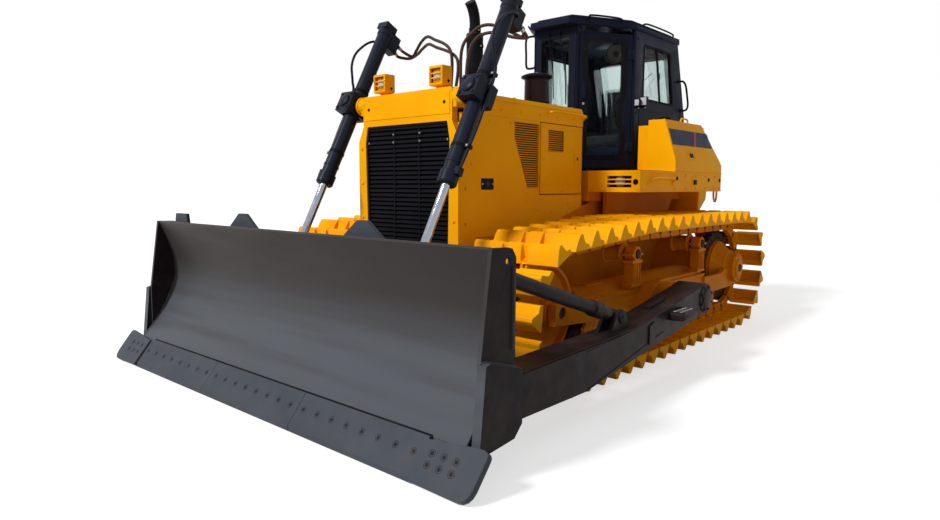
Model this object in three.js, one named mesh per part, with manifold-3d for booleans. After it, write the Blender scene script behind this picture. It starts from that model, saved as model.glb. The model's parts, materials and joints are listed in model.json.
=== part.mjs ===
// A crawler bulldozer on wide low-ground-pressure tracks, with a straight blade on two push arms.
// Millimetres. It faces -Y, its left side is +X and +Z is up. Z = 0 is the ground, X = 0 the
// machine's middle and Y = 0 the middle of its length.
import * as THREE from 'three';
import { RoundedBoxGeometry } from 'three/addons/geometries/RoundedBoxGeometry.js';
import { mergeVertices } from 'three/addons/utils/BufferGeometryUtils.js';
import Module from 'manifold-3d';

const wasm = await Module();
wasm.setup();

// ---------------------------------------------------------------- driving dimensions
const CUT_GAP = 0.4; // between two pieces that touch
const RUNNING_GAP = 8; // between a door and its frame

// Tracks
const TRACK_X = 1080; // middle of a track
const SHOE_WIDTH = 720;
const SHOE_COUNT = 45;
const SHOE_PHASE = 0.3; // where the first shoe sits, as part of a pitch
const SHOE_HEIGHT = 112; // grouser tip over the shoe's base
const SHOE_FOOT = 168; // length of a shoe's base along the track
const PIN_TO_BASE = 48; // chain pin to the base of the shoe
const CHAIN_WIDTH = 190;
const SPROCKET = { y: 2205, z: 595, r: 435 }; // r is the pitch radius of the pins
const IDLER = { y: -1018, z: 560, r: 400 };
const CARRIERS = [{ y: 90, z: 893 }, { y: 1405, z: 897 }];
const CARRIER_RADIUS = 90;
const LINK_HALF = 46; // chain pin to the rail that the rollers run on
const ROLLER_COUNT = 7;
const ROLLER_RADIUS = 108;

// Blade and push arms
const BLADE_HALF = 1810; // to the outside of an end plate
const BLADE_TOP_Z = 1138;
const BLADE_TOP_Y = -2410;
const BLADE_PLATE = 26;
const EDGE_TIP = { y: -2730, z: 3 };
const EDGE_TOP = { y: -2579, z: 192 };
const EDGE_HALF = BLADE_HALF - 240; // half length of the straight cutting edges
const EDGE_THICK = 25;
const BIT_HALF = BLADE_HALF + 145; // overall half width of the blade
const TRUNNION = { y: 342, z: 550 }; // axis that the push arms swing about
const ARM_X = [1530, 1760]; // inner and outer face
const BRACE_X = 1633;
const LIFT_PIN = { y: -1929, z: 720, r: 25 };
const LIFT_X = 685;

// Lift cylinders
const YOKE = { y: -1214, z: 2088 };
const BARREL_RADIUS = 60;
const BARREL_ABOVE = 770; // barrel length over the yoke
const BARREL_BELOW = 722; // and under it
const ROD_RADIUS = 32;
const ROD_END = 60; // the rod's end inside the barrel, clear of the bore's end at full raise
const BORE_END = -700;

// Body
const HOOD_HALF = 530;
const HOOD_TOP = 2140;
const HOOD_REAR = 432;
const GUARD_FRONT = -1282;
const GUARD_HALF = 555;
const GUARD_DEPTH = 190; // at its foot; the cheeks narrow towards the top
const GUARD_TOP = 2153;
const DOOR_FOOT = 1375; // lower edge of the engine doors
const DECK_TOP = 1582;
const DECK_FOOT = 1390;
const DECK_FRONT = 472;
const DECK_REAR = 2330;
const DECK_HALF = 1090;
const TANK_TOP = 2078;

// Cab, six-sided in plan: a narrow front, two door sides and two long sides
const CAB_FRONT = { x: 250, y: 742 };
const CAB_CORNER = { x: 580, y: 1300 };
const CAB_REAR_FOOT = 2492;
const CAB_REAR_HEAD = 2262;
const CAB_KNEE = 2215; // height where the rear wall starts to lean
const CAB_FLOOR = 1600;
const CAB_EAVES = 2975;
const WALL = 50;

// ---------------------------------------------------------------- materials
const paint = (color, roughness = 0.45, metalness = 0.1) =>
  new THREE.MeshStandardMaterial({ color, roughness, metalness });
const YELLOW = paint(0xf2a900);
const TRACK_YELLOW = paint(0xf0a800, 0.6);
const BLADE_GREY = paint(0x3f3d42, 0.45, 0.3);
const CAB_BLUE = paint(0x1c222e, 0.4);
const BLACK = paint(0x17181b, 0.5);
const CHROME = paint(0xd9dce0, 0.12, 1);
const CAST = paint(0x2c2b2b, 0.7, 0.4);
const VINYL = paint(0x23252a, 0.8, 0);

// ---------------------------------------------------------------- solids
function solid(geometry) {
  const g = geometry.clone();
  for (const name of ['normal', 'uv', 'uv1', 'color']) g.deleteAttribute(name);
  const merged = mergeVertices(g, 1e-3);
  const vertProperties = new Float32Array(merged.attributes.position.array);
  const triVerts = new Uint32Array(merged.index.array);
  if (signedVolume(vertProperties, triVerts) < 0) triVerts.reverse();
  return new wasm.Manifold(new wasm.Mesh({ numProp: 3, vertProperties, triVerts }));
}

// Negative when a closed mesh's faces point inwards
function signedVolume(points, triangles) {
  let sum = 0;
  for (let i = 0; i < triangles.length; i += 3) {
    const [a, b, c] = [0, 1, 2].map((k) => new THREE.Vector3().fromArray(points, triangles[i + k] * 3));
    sum += a.dot(b.cross(c)) / 6;
  }
  return sum;
}

function geometryOf(manifold) {
  const { vertProperties, triVerts } = manifold.getMesh();
  const g = new THREE.BufferGeometry();
  g.setAttribute('position', new THREE.BufferAttribute(new Float32Array(vertProperties), 3));
  g.setIndex(new THREE.BufferAttribute(new Uint32Array(triVerts), 1));
  const flat = g.toNonIndexed();
  flat.computeVertexNormals();
  return flat;
}

const join = (...parts) => parts.flat().reduce((a, b) => a.add(b));
const cut = (body, ...tools) => tools.flat().reduce((a, b) => a.subtract(b), body);

// Brings the middle of the overall length to Y = 0 and the lowest shoe to Z = 0
const TO_CENTRE = { y: -16, z: 0 };
const root = new THREE.Group();
root.position.set(0, TO_CENTRE.y, TO_CENTRE.z);

function piece(name, shape, material) {
  const mesh = new THREE.Mesh(geometryOf(shape), material);
  mesh.name = name;
  root.add(mesh);
}

// ---------------------------------------------------------------- shape helpers
const shapeOf = (points) => new THREE.Shape(points.map(([a, b]) => new THREE.Vector2(a, b)));

// Drops points that repeat the one before or lie on a straight run
function corners(points) {
  const apart = points.filter((p, i) => p.distanceTo(points[(i + points.length - 1) % points.length]) > 0.05);
  return apart.filter((p, i) => {
    const before = apart[(i + apart.length - 1) % apart.length];
    const after = apart[(i + 1) % apart.length];
    const a = p.clone().sub(before).normalize();
    return Math.abs(a.cross(after.clone().sub(p).normalize())) > 1e-5;
  });
}

function extrude(outline, depth, curveSegments = 8) {
  const drawn = Array.isArray(outline) ? shapeOf(outline) : outline;
  const { shape, holes } = drawn.extractPoints(curveSegments);
  const border = corners(shape);
  const clean = new THREE.Shape(THREE.ShapeUtils.isClockWise(border) ? border.reverse() : border);
  clean.holes = holes.map((hole) => new THREE.Path(corners(hole)));
  return new THREE.ExtrudeGeometry(clean, { depth, bevelEnabled: false });
}

// An outline in (y, z) swept along X, from x0 to x1
function alongX(outline, x0, x1, curveSegments) {
  const g = extrude(outline, Math.abs(x1 - x0), curveSegments);
  g.applyMatrix4(new THREE.Matrix4().set(0, 0, 1, Math.min(x0, x1), 1, 0, 0, 0, 0, 1, 0, 0, 0, 0, 0, 1));
  return solid(g);
}

// An outline in (x, z) swept along Y, from y0 to y1
function alongY(outline, y0, y1) {
  const g = extrude(outline, Math.abs(y1 - y0));
  g.rotateX(Math.PI / 2).translate(0, Math.max(y0, y1), 0);
  return solid(g);
}

// An outline in (x, y) swept along Z, from z0 to z1
function alongZ(outline, z0, z1) {
  const g = extrude(outline, z1 - z0);
  return solid(g.translate(0, 0, z0));
}

function block(x0, x1, y0, y1, z0, z1) {
  const g = new THREE.BoxGeometry(Math.abs(x1 - x0), Math.abs(y1 - y0), Math.abs(z1 - z0));
  return solid(g.translate((x0 + x1) / 2, (y0 + y1) / 2, (z0 + z1) / 2));
}

function softBlock(x0, x1, y0, y1, z0, z1, radius) {
  const g = new RoundedBoxGeometry(Math.abs(x1 - x0), Math.abs(y1 - y0), Math.abs(z1 - z0), 1, radius);
  return solid(g.translate((x0 + x1) / 2, (y0 + y1) / 2, (z0 + z1) / 2));
}

// A round bar between two points
function bar(from, to, radius, sides = 12, radiusTo = radius) {
  const a = new THREE.Vector3(...from);
  const b = new THREE.Vector3(...to);
  const g = new THREE.CylinderGeometry(radiusTo, radius, a.distanceTo(b), sides);
  const turn = new THREE.Quaternion().setFromUnitVectors(
    new THREE.Vector3(0, 1, 0), b.clone().sub(a).normalize());
  g.applyQuaternion(turn);
  const mid = a.add(b).multiplyScalar(0.5);
  return solid(g.translate(mid.x, mid.y, mid.z));
}

const barX = (x0, x1, y, z, radius, sides = 16, radiusTo = radius) =>
  bar([x0, y, z], [x1, y, z], radius, sides, radiusTo);
const barZ = (x, y, z0, z1, radius, sides = 16, radiusTo = radius) =>
  bar([x, y, z0], [x, y, z1], radius, sides, radiusTo);

// A bent round bar through points, its corners rounded by a smooth curve
function bentBar(points, radius, steps = 12, sides = 6) {
  const path = new THREE.CatmullRomCurve3(points.map((p) => new THREE.Vector3(...p)), false,
    'catmullrom', 0.35);
  const section = new THREE.Shape();
  section.absarc(0, 0, radius, 0, Math.PI * 2);
  return solid(new THREE.ExtrudeGeometry(section,
    { steps, curveSegments: sides / 2, bevelEnabled: false, extrudePath: path }));
}

const mirrored = (manifold, side) => (side > 0 ? manifold : manifold.mirror([1, 0, 0]));
const SIDES = [['left', 1], ['right', -1]];

// ---------------------------------------------------------------- tracks
// The chain's pins follow one closed line: round the idler, over the carrier rollers,
// round the sprocket and straight back along the ground.
function tangentAngle(a, b) {
  // Angle of the outside normal of the upper line that touches circles a and b
  const dy = b.y - a.y;
  const dz = b.z - a.z;
  return Math.atan2(dz, dy) + Math.acos((a.r - b.r) / Math.hypot(dy, dz));
}

// The chain's line, moved outwards by an offset
function chainLine(offset = 0) {
  const over = CARRIERS.map((c) => ({ y: c.y, z: c.z, r: CARRIER_RADIUS + LINK_HALF }));
  const wheels = [IDLER, ...over, SPROCKET];
  const line = new THREE.Shape();
  let from = (3 * Math.PI) / 2;
  wheels.forEach((w, i) => {
    const to = i + 1 < wheels.length ? tangentAngle(w, wheels[i + 1]) : -Math.PI / 2;
    line.absarc(w.y, w.z, w.r + offset, from, to, true);
    from = to;
  });
  line.closePath();
  return line;
}

// A shoe is a three-sided ridge across the track; (along, out) are its own directions
function shoe(pin, along, out) {
  const at = (a, h) => [pin.x + along.x * a + out.x * (PIN_TO_BASE + h),
    pin.y + along.y * a + out.y * (PIN_TO_BASE + h)];
  const half = SHOE_FOOT / 2;
  const outline = [at(-half, -6), at(-12, SHOE_HEIGHT), at(12, SHOE_HEIGHT), at(half, -6)];
  return alongX(outline, TRACK_X - SHOE_WIDTH / 2, TRACK_X + SHOE_WIDTH / 2);
}

function track(side) {
  const chain = chainLine(PIN_TO_BASE);
  chain.holes.push(chainLine(-LINK_HALF));
  let loop = alongX(chain, TRACK_X - CHAIN_WIDTH / 2, TRACK_X + CHAIN_WIDTH / 2, 14);
  const line = chainLine();
  for (let k = 0; k < SHOE_COUNT; k++) {
    const u = (k + SHOE_PHASE) / SHOE_COUNT;
    const along = line.getTangentAt(u);
    loop = join(loop, shoe(line.getPointAt(u), along, new THREE.Vector2(-along.y, along.x)));
  }
  return mirrored(loop, side);
}

// ---------------------------------------------------------------- undercarriage
const FRAME_X = [860, 1300]; // inner and outer face of a track frame
const FRAME_FOOT = 440;
const FRAME_TOP = 560;
const FRAME_SLOPE = 600;
const CAP_RADIUS = 148; // outer end of a final drive, carried in the frame's saddle
const CARRIER_RAIL = 625;

function trackFrame() {
  const front = IDLER.y + 380;
  const boxBeam = alongX([[front, FRAME_FOOT], [1640, FRAME_FOOT], [1640, 500], [1480, FRAME_TOP],
    [front + 60, FRAME_TOP], [front, 520]], FRAME_X[0] + 40, FRAME_X[1] - 30);
  const slopedTop = alongY([[FRAME_X[0] + 40, 555], [FRAME_X[1] - 30, 555], [FRAME_X[1] - 10, FRAME_SLOPE],
    [FRAME_X[1] - 130, FRAME_SLOPE], [FRAME_X[0] + 240, 660], [FRAME_X[0] + 110, 660]], front + 40, 1500);
  const yokeArms = [FRAME_X[0], FRAME_X[1] - 60].map((x) =>
    alongX([[IDLER.y - 90, 480], [front + 60, FRAME_FOOT], [front + 60, 600], [IDLER.y - 90, 630]], x, x + 60));
  const rearLeg = cut(alongX([[1480, FRAME_FOOT], [1640, 400], [2160, 400], [2380, 440], [2400, SPROCKET.z],
    [1990, SPROCKET.z], [1900, 560], [1480, 560]], FRAME_X[1] - 42, FRAME_X[1] - 2),
  barX(FRAME_X[1] - 60, FRAME_X[1] + 20, SPROCKET.y, SPROCKET.z, CAP_RADIUS + 2, 28));
  const outrigger = alongX([[TRUNNION.y - 330, FRAME_FOOT], [TRUNNION.y + 330, FRAME_FOOT],
    [TRUNNION.y + 150, TRUNNION.z + 80], [TRUNNION.y - 150, TRUNNION.z + 80]],
  FRAME_X[1] - 40, FRAME_X[1] + 100);
  const boss = join(barX(FRAME_X[1] + 90, 1490, TRUNNION.y, TRUNNION.z, 105, 20),
    barX(1489, 1560, TRUNNION.y, TRUNNION.z, 62, 20));
  const crossArm = block(600, FRAME_X[0] + 60, 260, 460, FRAME_FOOT, FRAME_TOP);
  const idlerBore = barX(800, 1400, IDLER.y, IDLER.z, 45.8, 12);
  return cut(join(boxBeam, slopedTop, yokeArms, rearLeg, outrigger, boss, crossArm), idlerBore);
}

// Seven rollers between two long guard plates
function rollerRow() {
  const start = IDLER.y + 418;
  const pitch = 394;
  const z = IDLER.z - IDLER.r + LINK_HALF + ROLLER_RADIUS + 0.6;
  const plates = [-172, 150].map((dx) => alongX([[start - 100, z - 18], [start - 60, z - 78],
    [start + pitch * 6 + 50, z - 78], [start + pitch * 6 + 80, z - 18],
    [start + pitch * 6 + 60, FRAME_FOOT - CUT_GAP], [start - 30, FRAME_FOOT - CUT_GAP]],
  TRACK_X + dx, TRACK_X + dx + 22));
  const rollers = [];
  for (let i = 0; i < ROLLER_COUNT; i++) {
    rollers.push(barX(TRACK_X - 155, TRACK_X + 155, start + pitch * i, z, ROLLER_RADIUS, 12));
  }
  return join(plates, rollers);
}

function carrierRoller({ y, z }) {
  const r = CARRIER_RADIUS - 1;
  const wheel = [[-95, 95, r - 20], [-95, -66, r], [66, 95, r]].map(([a, b, radius]) =>
    barX(TRACK_X + a, TRACK_X + b, y, z, radius, 16));
  const shaft = barX(TRACK_X + 60, 1295, y, z, 40, 10);
  const clamp = barX(1200, 1292, y, z, 62, 12);
  const foot = block(1186, 1298, y - 80, y + 80, 720, z - 60);
  const column = block(1190, 1288, y - 68, y + 68, CARRIER_RAIL - 1, 760);
  return join(wheel, shaft, clamp, foot, column);
}

// Both carrier rollers with their columns, on one rail that is bolted to the frame
function carrierRollers() {
  const [front, rear] = CARRIERS;
  const rail = block(1190, 1255, front.y - 68, rear.y + 68, FRAME_SLOPE + CUT_GAP, CARRIER_RAIL);
  return join(carrierRoller(front), carrierRoller(rear), rail);
}

function idler() {
  const inner = IDLER.r - LINK_HALF - 1;
  const rim = barX(TRACK_X - 80, TRACK_X + 80, IDLER.y, IDLER.z, inner, 28);
  const dish = [-1, 1].map((s) => barX(TRACK_X + s * 40, TRACK_X + s * 90, IDLER.y, IDLER.z, inner - 60, 20));
  const hub = barX(TRACK_X - 140, TRACK_X + 140, IDLER.y, IDLER.z, 110, 16);
  const axle = barX(TRACK_X - 205, TRACK_X + 205, IDLER.y, IDLER.z, 45, 12);
  return join(cut(rim, dish), hub, axle);
}

function sprocket() {
  const teeth = 27;
  const outline = [];
  for (let i = 0; i < teeth * 2; i++) {
    const a = (i / (teeth * 2)) * Math.PI * 2;
    const r = SPROCKET.r - LINK_HALF - (i % 2 ? 34 : 4);
    outline.push([SPROCKET.y + r * Math.cos(a), SPROCKET.z + r * Math.sin(a)]);
  }
  const ring = alongX(outline, TRACK_X - 38, TRACK_X + 38);
  const hub = barX(TRACK_X - 60, TRACK_X + 58, SPROCKET.y, SPROCKET.z, 270, 24);
  return join(ring, hub);
}

function finalDrive() {
  const { y, z } = SPROCKET;
  const cone = barX(TRACK_X + 58 + CUT_GAP, 1240, y, z, 262, 28, CAP_RADIUS);
  const cap = join(barX(1239, 1292, y, z, CAP_RADIUS, 28), barX(1291, 1312, y, z, 92, 16));
  return join(cone, cap);
}

// ---------------------------------------------------------------- blade
// The slope of the cutting edge, in (y, z): down it and out of it to the front
const edgeDown = new THREE.Vector2(EDGE_TIP.y - EDGE_TOP.y, EDGE_TIP.z - EDGE_TOP.z).normalize();
const edgeOut = new THREE.Vector2(edgeDown.y, -edgeDown.x);
const EDGE_LENGTH = Math.hypot(EDGE_TIP.y - EDGE_TOP.y, EDGE_TIP.z - EDGE_TOP.z);
const onEdge = (a, h) => [EDGE_TOP.y + edgeDown.x * a + edgeOut.x * h,
  EDGE_TOP.z + edgeDown.y * a + edgeOut.y * h];

// The face is hollow: a straight lip behind the cutting edge, a lower arc and an upper arc
function mouldboard() {
  const face = new THREE.Shape();
  face.moveTo(...onEdge(150, 0));
  face.lineTo(EDGE_TOP.y, EDGE_TOP.z);
  face.quadraticCurveTo(-2372, 400, -2300, 640);
  face.quadraticCurveTo(-2262, 830, BLADE_TOP_Y, BLADE_TOP_Z);
  face.lineTo(BLADE_TOP_Y + 34, BLADE_TOP_Z);
  face.quadraticCurveTo(-2262 + BLADE_PLATE + 6, 830, -2300 + BLADE_PLATE, 640);
  face.quadraticCurveTo(-2372 + BLADE_PLATE + 8, 390, ...onEdge(10, -32));
  face.lineTo(...onEdge(150, -32));
  return alongX(face, -BLADE_HALF + 20, BLADE_HALF - 20, 6);
}

const BLADE_REAR = -2228;
const END_PLATE = [[-2505, 250], [-2500, 590], [BLADE_TOP_Y - 8, BLADE_TOP_Z + 6],
  [BLADE_TOP_Y + 120, BLADE_TOP_Z + 2], [BLADE_REAR - 30, BLADE_TOP_Z - 6],
  [BLADE_REAR, BLADE_TOP_Z - 50], [BLADE_REAR, 235], [BLADE_REAR - 60, 180], [-2560, 150]];

function blade() {
  const ends = [];
  for (const s of [1, -1]) {
    const plate = alongX(END_PLATE, s * (BLADE_HALF - 24), s * BLADE_HALF);
    ends.push(cut(plate, barX(s * (BLADE_HALF - 60), s * (BLADE_HALF + 60), -2290, 1070, 22)));
    ends.push(alongX([[-2560, 150], [-2512, 590], [-2480, 600], [BLADE_REAR + 4, 525],
      [BLADE_REAR + 4, 240], [BLADE_REAR - 60, 176]], s * (BLADE_HALF - 8), s * (BLADE_HALF + 46)));
  }
  // Box beams across the back, under the top edge and behind the cutting edge
  const topBeam = alongX([[-2376, 1090], [-2262, 1050], [-2262, 850], [-2280, 790]],
    -BLADE_HALF + 22, BLADE_HALF - 22);
  const lowBeam = alongX([[-2500, 200], [BLADE_REAR - 20, 190], [BLADE_REAR - 20, 480], [-2312, 560]],
    -BLADE_HALF + 22, BLADE_HALF - 22);
  const ribs = [-1150, -250, 250, 1150].map((x) =>
    alongX([[-2306, 540], [-2250, 470], [BLADE_REAR, 470], [BLADE_REAR, 860], [-2262, 1040],
      [-2318, 1040], [-2276, 700]], x - 12, x + 12));
  const shields = [-1, 1].map((s) => alongY([[s * LIFT_X - 195, 1000], [s * LIFT_X + 195, 1000],
    [s * LIFT_X + 195, 1120], [s * LIFT_X + 46, 1232], [s * LIFT_X - 46, 1232],
    [s * LIFT_X - 195, 1120]], -2288, -2260));
  const lugs = [];
  for (const s of [1, -1]) {
    for (const dx of [-78, 52]) {
      lugs.push(alongX([[-2285, 560], [-2285, 960], [-2230, 900], [LIFT_PIN.y - 60, 790],
        [LIFT_PIN.y + 62, 760], [LIFT_PIN.y + 62, 680], [LIFT_PIN.y, 650], [-2240, 560]],
      s * LIFT_X + dx, s * LIFT_X + dx + 26));
    }
    lugs.push(barX(s * LIFT_X - 92, s * LIFT_X + 92, LIFT_PIN.y, LIFT_PIN.z, LIFT_PIN.r, 20));
  }
  const armSeats = [];
  for (const s of [1, -1]) {
    armSeats.push(block(s * ARM_X[0], s * ARM_X[1], -2270, -2190, 200, 470));
    for (const x of [BRACE_X - 33 - 25, BRACE_X + 33]) {
      armSeats.push(alongX([[-2280, 880], [-2150, 930], [-2120, 990], [-2160, 1040], [-2280, 1060]],
        s * x, s * (x + 25)));
    }
  }
  const tiltTower = alongY([[-1790, 1000], [-1520, 1000], [-1560, 1205], [-1740, 1205]], -2288, -2260);
  return join(mouldboard(), ends, topBeam, lowBeam, ribs, shields, lugs, armSeats, tiltTower);
}

// Three straight edges and the two end bits, bolted to the foot of the mouldboard
function cuttingEdge() {
  const section = [onEdge(2, 0.5), onEdge(2, 0.5 + EDGE_THICK), onEdge(EDGE_LENGTH - 20, 0.5 + EDGE_THICK),
    onEdge(EDGE_LENGTH, 4), onEdge(EDGE_LENGTH, 0.5)];
  const straight = alongX(section, -EDGE_HALF - 2, EDGE_HALF + 2);
  const bits = [];
  for (const s of [1, -1]) {
    // Outline of an end bit on the sloping face: across, then down the slope
    const flat = shapeOf([[EDGE_HALF, 20], [BLADE_HALF + 80, -16], [BIT_HALF - 8, -16],
      [BIT_HALF, 10], [BIT_HALF - 10, EDGE_LENGTH + 2], [BIT_HALF - 35, EDGE_LENGTH + 3],
      [EDGE_HALF + 60, EDGE_LENGTH - 2], [EDGE_HALF, EDGE_LENGTH - 2]].map(([x, a]) => [s * x, a]));
    const g = extrude(flat, EDGE_THICK + 14);
    const frame = new THREE.Matrix4().makeBasis(new THREE.Vector3(1, 0, 0),
      new THREE.Vector3(0, edgeDown.x, edgeDown.y), new THREE.Vector3(0, -edgeOut.x, -edgeOut.y));
    const [y0, z0] = onEdge(0, EDGE_THICK + 15);
    frame.setPosition(0, y0, z0);
    bits.push(solid(g.applyMatrix4(frame)));
  }
  return join(straight, bits);
}

// A box beam with its trunnion socket, the lugs for the brace, a step and a stay to the blade
function pushArm() {
  const [inner, outer] = ARM_X;
  const stay = bar([inner + 20, -1650, 330], [780, -2236, 330], 46, 16);
  const beam = alongX([[-2190 + CUT_GAP, 205], [-1450, 200], [TRUNNION.y - 60, 432],
    [TRUNNION.y + 10, 432], [TRUNNION.y + 10, 655], [TRUNNION.y - 60, 655], [-860, 480],
    [-2190 + CUT_GAP, 445]], inner, outer);
  const head = barX(inner, outer, TRUNNION.y, TRUNNION.z, 122, 24);
  const socket = barX(inner - 10, 1575, TRUNNION.y, TRUNNION.z, 62.8, 20);
  const capBar = alongX([[-420, 530], [-160, 570], [-160, 610], [-420, 570]], inner + 85, inner + 125);
  const step = softBlock(outer - 10, outer + 120, -330, -80, 470, 535, 16);
  const clevis = [BRACE_X - 33 - 25, BRACE_X + 33].map((x) => alongX([[-1080, 440], [-790, 470],
    [-840, 600], [-900, 625], [-960, 600]], x, x + 25));
  const room = block(0, 1529, -2400, -2248 + CUT_GAP, 200, 500);
  return cut(join(beam, head, capBar, step, clevis, stay), socket, room);
}

// What props the top of the blade on a push arm: an eye at each end and a body between them
const BRACE_FOOT = { y: -900, z: 572 };
const BRACE_HEAD = { y: -2185, z: 985 };
function strut(x, pieces) {
  const at = (t) => [x, BRACE_FOOT.y + (BRACE_HEAD.y - BRACE_FOOT.y) * t,
    BRACE_FOOT.z + (BRACE_HEAD.z - BRACE_FOOT.z) * t];
  const eyes = [BRACE_FOOT, BRACE_HEAD].map(({ y, z }) => barX(x - 32.6, x + 32.6, y, z, 46));
  return join(eyes, pieces.map(([from, to, radius]) => bar(at(from), at(to), radius, 16)));
}

const brace = () => strut(BRACE_X, [[0, 1, 27], [0.08, 0.9, 44], [0.14, 0.24, 54]]);
const tiltCylinder = () => strut(-BRACE_X, [[0, 1, 27], [0.1, 0.62, 58], [0.58, 0.62, 66]]);

// ---------------------------------------------------------------- lift cylinders
const LIFT_LINE = new THREE.Vector2(LIFT_PIN.y - YOKE.y, LIFT_PIN.z - YOKE.z).normalize();
// A point on the cylinder's line, measured down from the yoke, and off it to the front
function onLift(distance, forward = 0) {
  return [YOKE.y + LIFT_LINE.x * distance + LIFT_LINE.y * forward,
    YOKE.z + LIFT_LINE.y * distance - LIFT_LINE.x * forward];
}
const liftBar = (x, from, to, radius, sides = 20, forward = 0) =>
  bar([x, ...onLift(from, forward)], [x, ...onLift(to, forward)], radius, sides);

function liftBox(x0, x1, from, to, back, front) {
  return alongX([onLift(from, back), onLift(from, front), onLift(to, front), onLift(to, back)], x0, x1);
}

function liftBarrel() {
  const tube = liftBar(LIFT_X, -BARREL_ABOVE, BARREL_BELOW, BARREL_RADIUS, 20);
  const head = liftBox(LIFT_X - 62, LIFT_X + 62, -BARREL_ABOVE - 60, -BARREL_ABOVE + 50, -66, 66);
  const manifold = liftBox(LIFT_X - 45, LIFT_X + 45, -BARREL_ABOVE - 20, -BARREL_ABOVE + 150, -150, -40);
  const gland = liftBar(LIFT_X, BARREL_BELOW - 90, BARREL_BELOW, BARREL_RADIUS + 11, 20);
  const port = liftBox(LIFT_X + 30, LIFT_X + 96, BARREL_BELOW - 130, BARREL_BELOW - 70, -30, 30);
  // The oil pipe to the rod end, clear of the yoke, held by two clamps
  const pipe = bentBar([[LIFT_X + 20, ...onLift(-BARREL_ABOVE + 60, -100)],
    [LIFT_X + 70, ...onLift(-BARREL_ABOVE + 100, -60)], [LIFT_X + 88, ...onLift(-500, -20)],
    [LIFT_X + 102, ...onLift(-200, 0)], [LIFT_X + 102, ...onLift(200, 0)],
    [LIFT_X + 88, ...onLift(480, 0)], [LIFT_X + 70, ...onLift(BARREL_BELOW - 100, 0)]], 11, 14);
  const clamps = [-460, 430].map((d) => liftBox(LIFT_X + 30, LIFT_X + 104, d - 16, d + 16, -26, 26));
  const bore = liftBar(LIFT_X, BORE_END, BARREL_BELOW + 5, ROD_RADIUS + 2 * CUT_GAP, 16);
  return cut(join(tube, head, manifold, gland, port, pipe, clamps), bore);
}

// The block that carries the barrel and swings on a stub pin in the radiator guard
function liftYoke() {
  const body = liftBox(LIFT_X - 84, LIFT_X + 84, -85, 85, -95, 120);
  const caps = join(bar([LIFT_X, ...onLift(0, 118)], [LIFT_X, ...onLift(0, 140)], 56, 16),
    bar([LIFT_X, ...onLift(0, -90)], [LIFT_X, ...onLift(0, -130)], 60, 16));
  const stub = barX(LIFT_X - 150, LIFT_X - 80, YOKE.y, YOKE.z, 45, 24);
  const room = join(liftBar(LIFT_X, -120, 120, BARREL_RADIUS + CUT_GAP, 20),
    liftBar(LIFT_X + 102, -140, 140, 14, 10));
  return cut(join(body, caps, stub), room);
}

function liftRod() {
  const reach = Math.hypot(LIFT_PIN.y - YOKE.y, LIFT_PIN.z - YOKE.z);
  const rod = liftBar(LIFT_X, ROD_END, reach - 40, ROD_RADIUS, 16);
  const eye = barX(LIFT_X - 44, LIFT_X + 44, LIFT_PIN.y, LIFT_PIN.z, 60, 24);
  const bore = barX(LIFT_X - 60, LIFT_X + 60, LIFT_PIN.y, LIFT_PIN.z, LIFT_PIN.r + 16, 24);
  return cut(join(rod, eye), bore);
}

// ---------------------------------------------------------------- body
function mainFrame() {
  const front = GUARD_FRONT + GUARD_DEPTH + CUT_GAP;
  const rails = [1, -1].map((s) => alongX([[front, 640], [front, 1050], [-300, 1050], [600, 1300],
    [2100, 1300], [2250, 1180], [2250, 520], [1500, 430], [-700, 430]],
  s * 470, s * 528));
  const belly = block(-472, 472, front + 60, 1510, 430, 452);
  const nose = block(-472, 472, front + 20, front + 70, 430, 1000);
  const rear = block(-520, 520, 1500, 2560, 420, 1170);
  const brackets = [1, -1].map((s) => {
    const plate = new THREE.Shape();
    plate.moveTo(700, 1000);
    plate.lineTo(700, DECK_TOP - 16 - CUT_GAP);
    plate.lineTo(2250, DECK_TOP - 16 - CUT_GAP);
    plate.lineTo(2250, DECK_FOOT);
    plate.quadraticCurveTo(2080, 1340, 2030, 1160);
    plate.lineTo(2030, 1000);
    return alongX(plate, s * 600, s * 640);
  });
  const shelves = [1, -1].map((s) => block(s * 500, s * 620, 720, 2020, 1010, 1060));
  const housings = [1, -1].map((s) => bar([s * 500, SPROCKET.y, SPROCKET.z],
    [s * (TRACK_X - 60 - CUT_GAP), SPROCKET.y, SPROCKET.z], 300, 24, 262));
  const equalizer = block(-600 + CUT_GAP, 600 - CUT_GAP, 280, 440, 455, 545);
  const drawbar = join(block(-160, 160, 2550, 2690, 430, 640),
    barZ(0, 2690, 430, 640, 80, 24));
  return cut(join(rails, belly, nose, rear, brackets, shelves, housings, equalizer, drawbar),
    barZ(0, 2690, 400, 700, 28, 20), block(-200, 200, 2600, 2800, 500, 570));
}

function engineBlock() {
  const feet = block(-220, 220, -760, 240, 452 + CUT_GAP, 561);
  return join(feet, block(-260, 260, -820, 360, 560, 1560), block(-190, 190, -760, 300, 1559, 1900));
}

// Half outline of the grille's opening
const GRILLE_EDGE = [[450, 860], [470, 1780], [445, 1912]];

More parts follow.
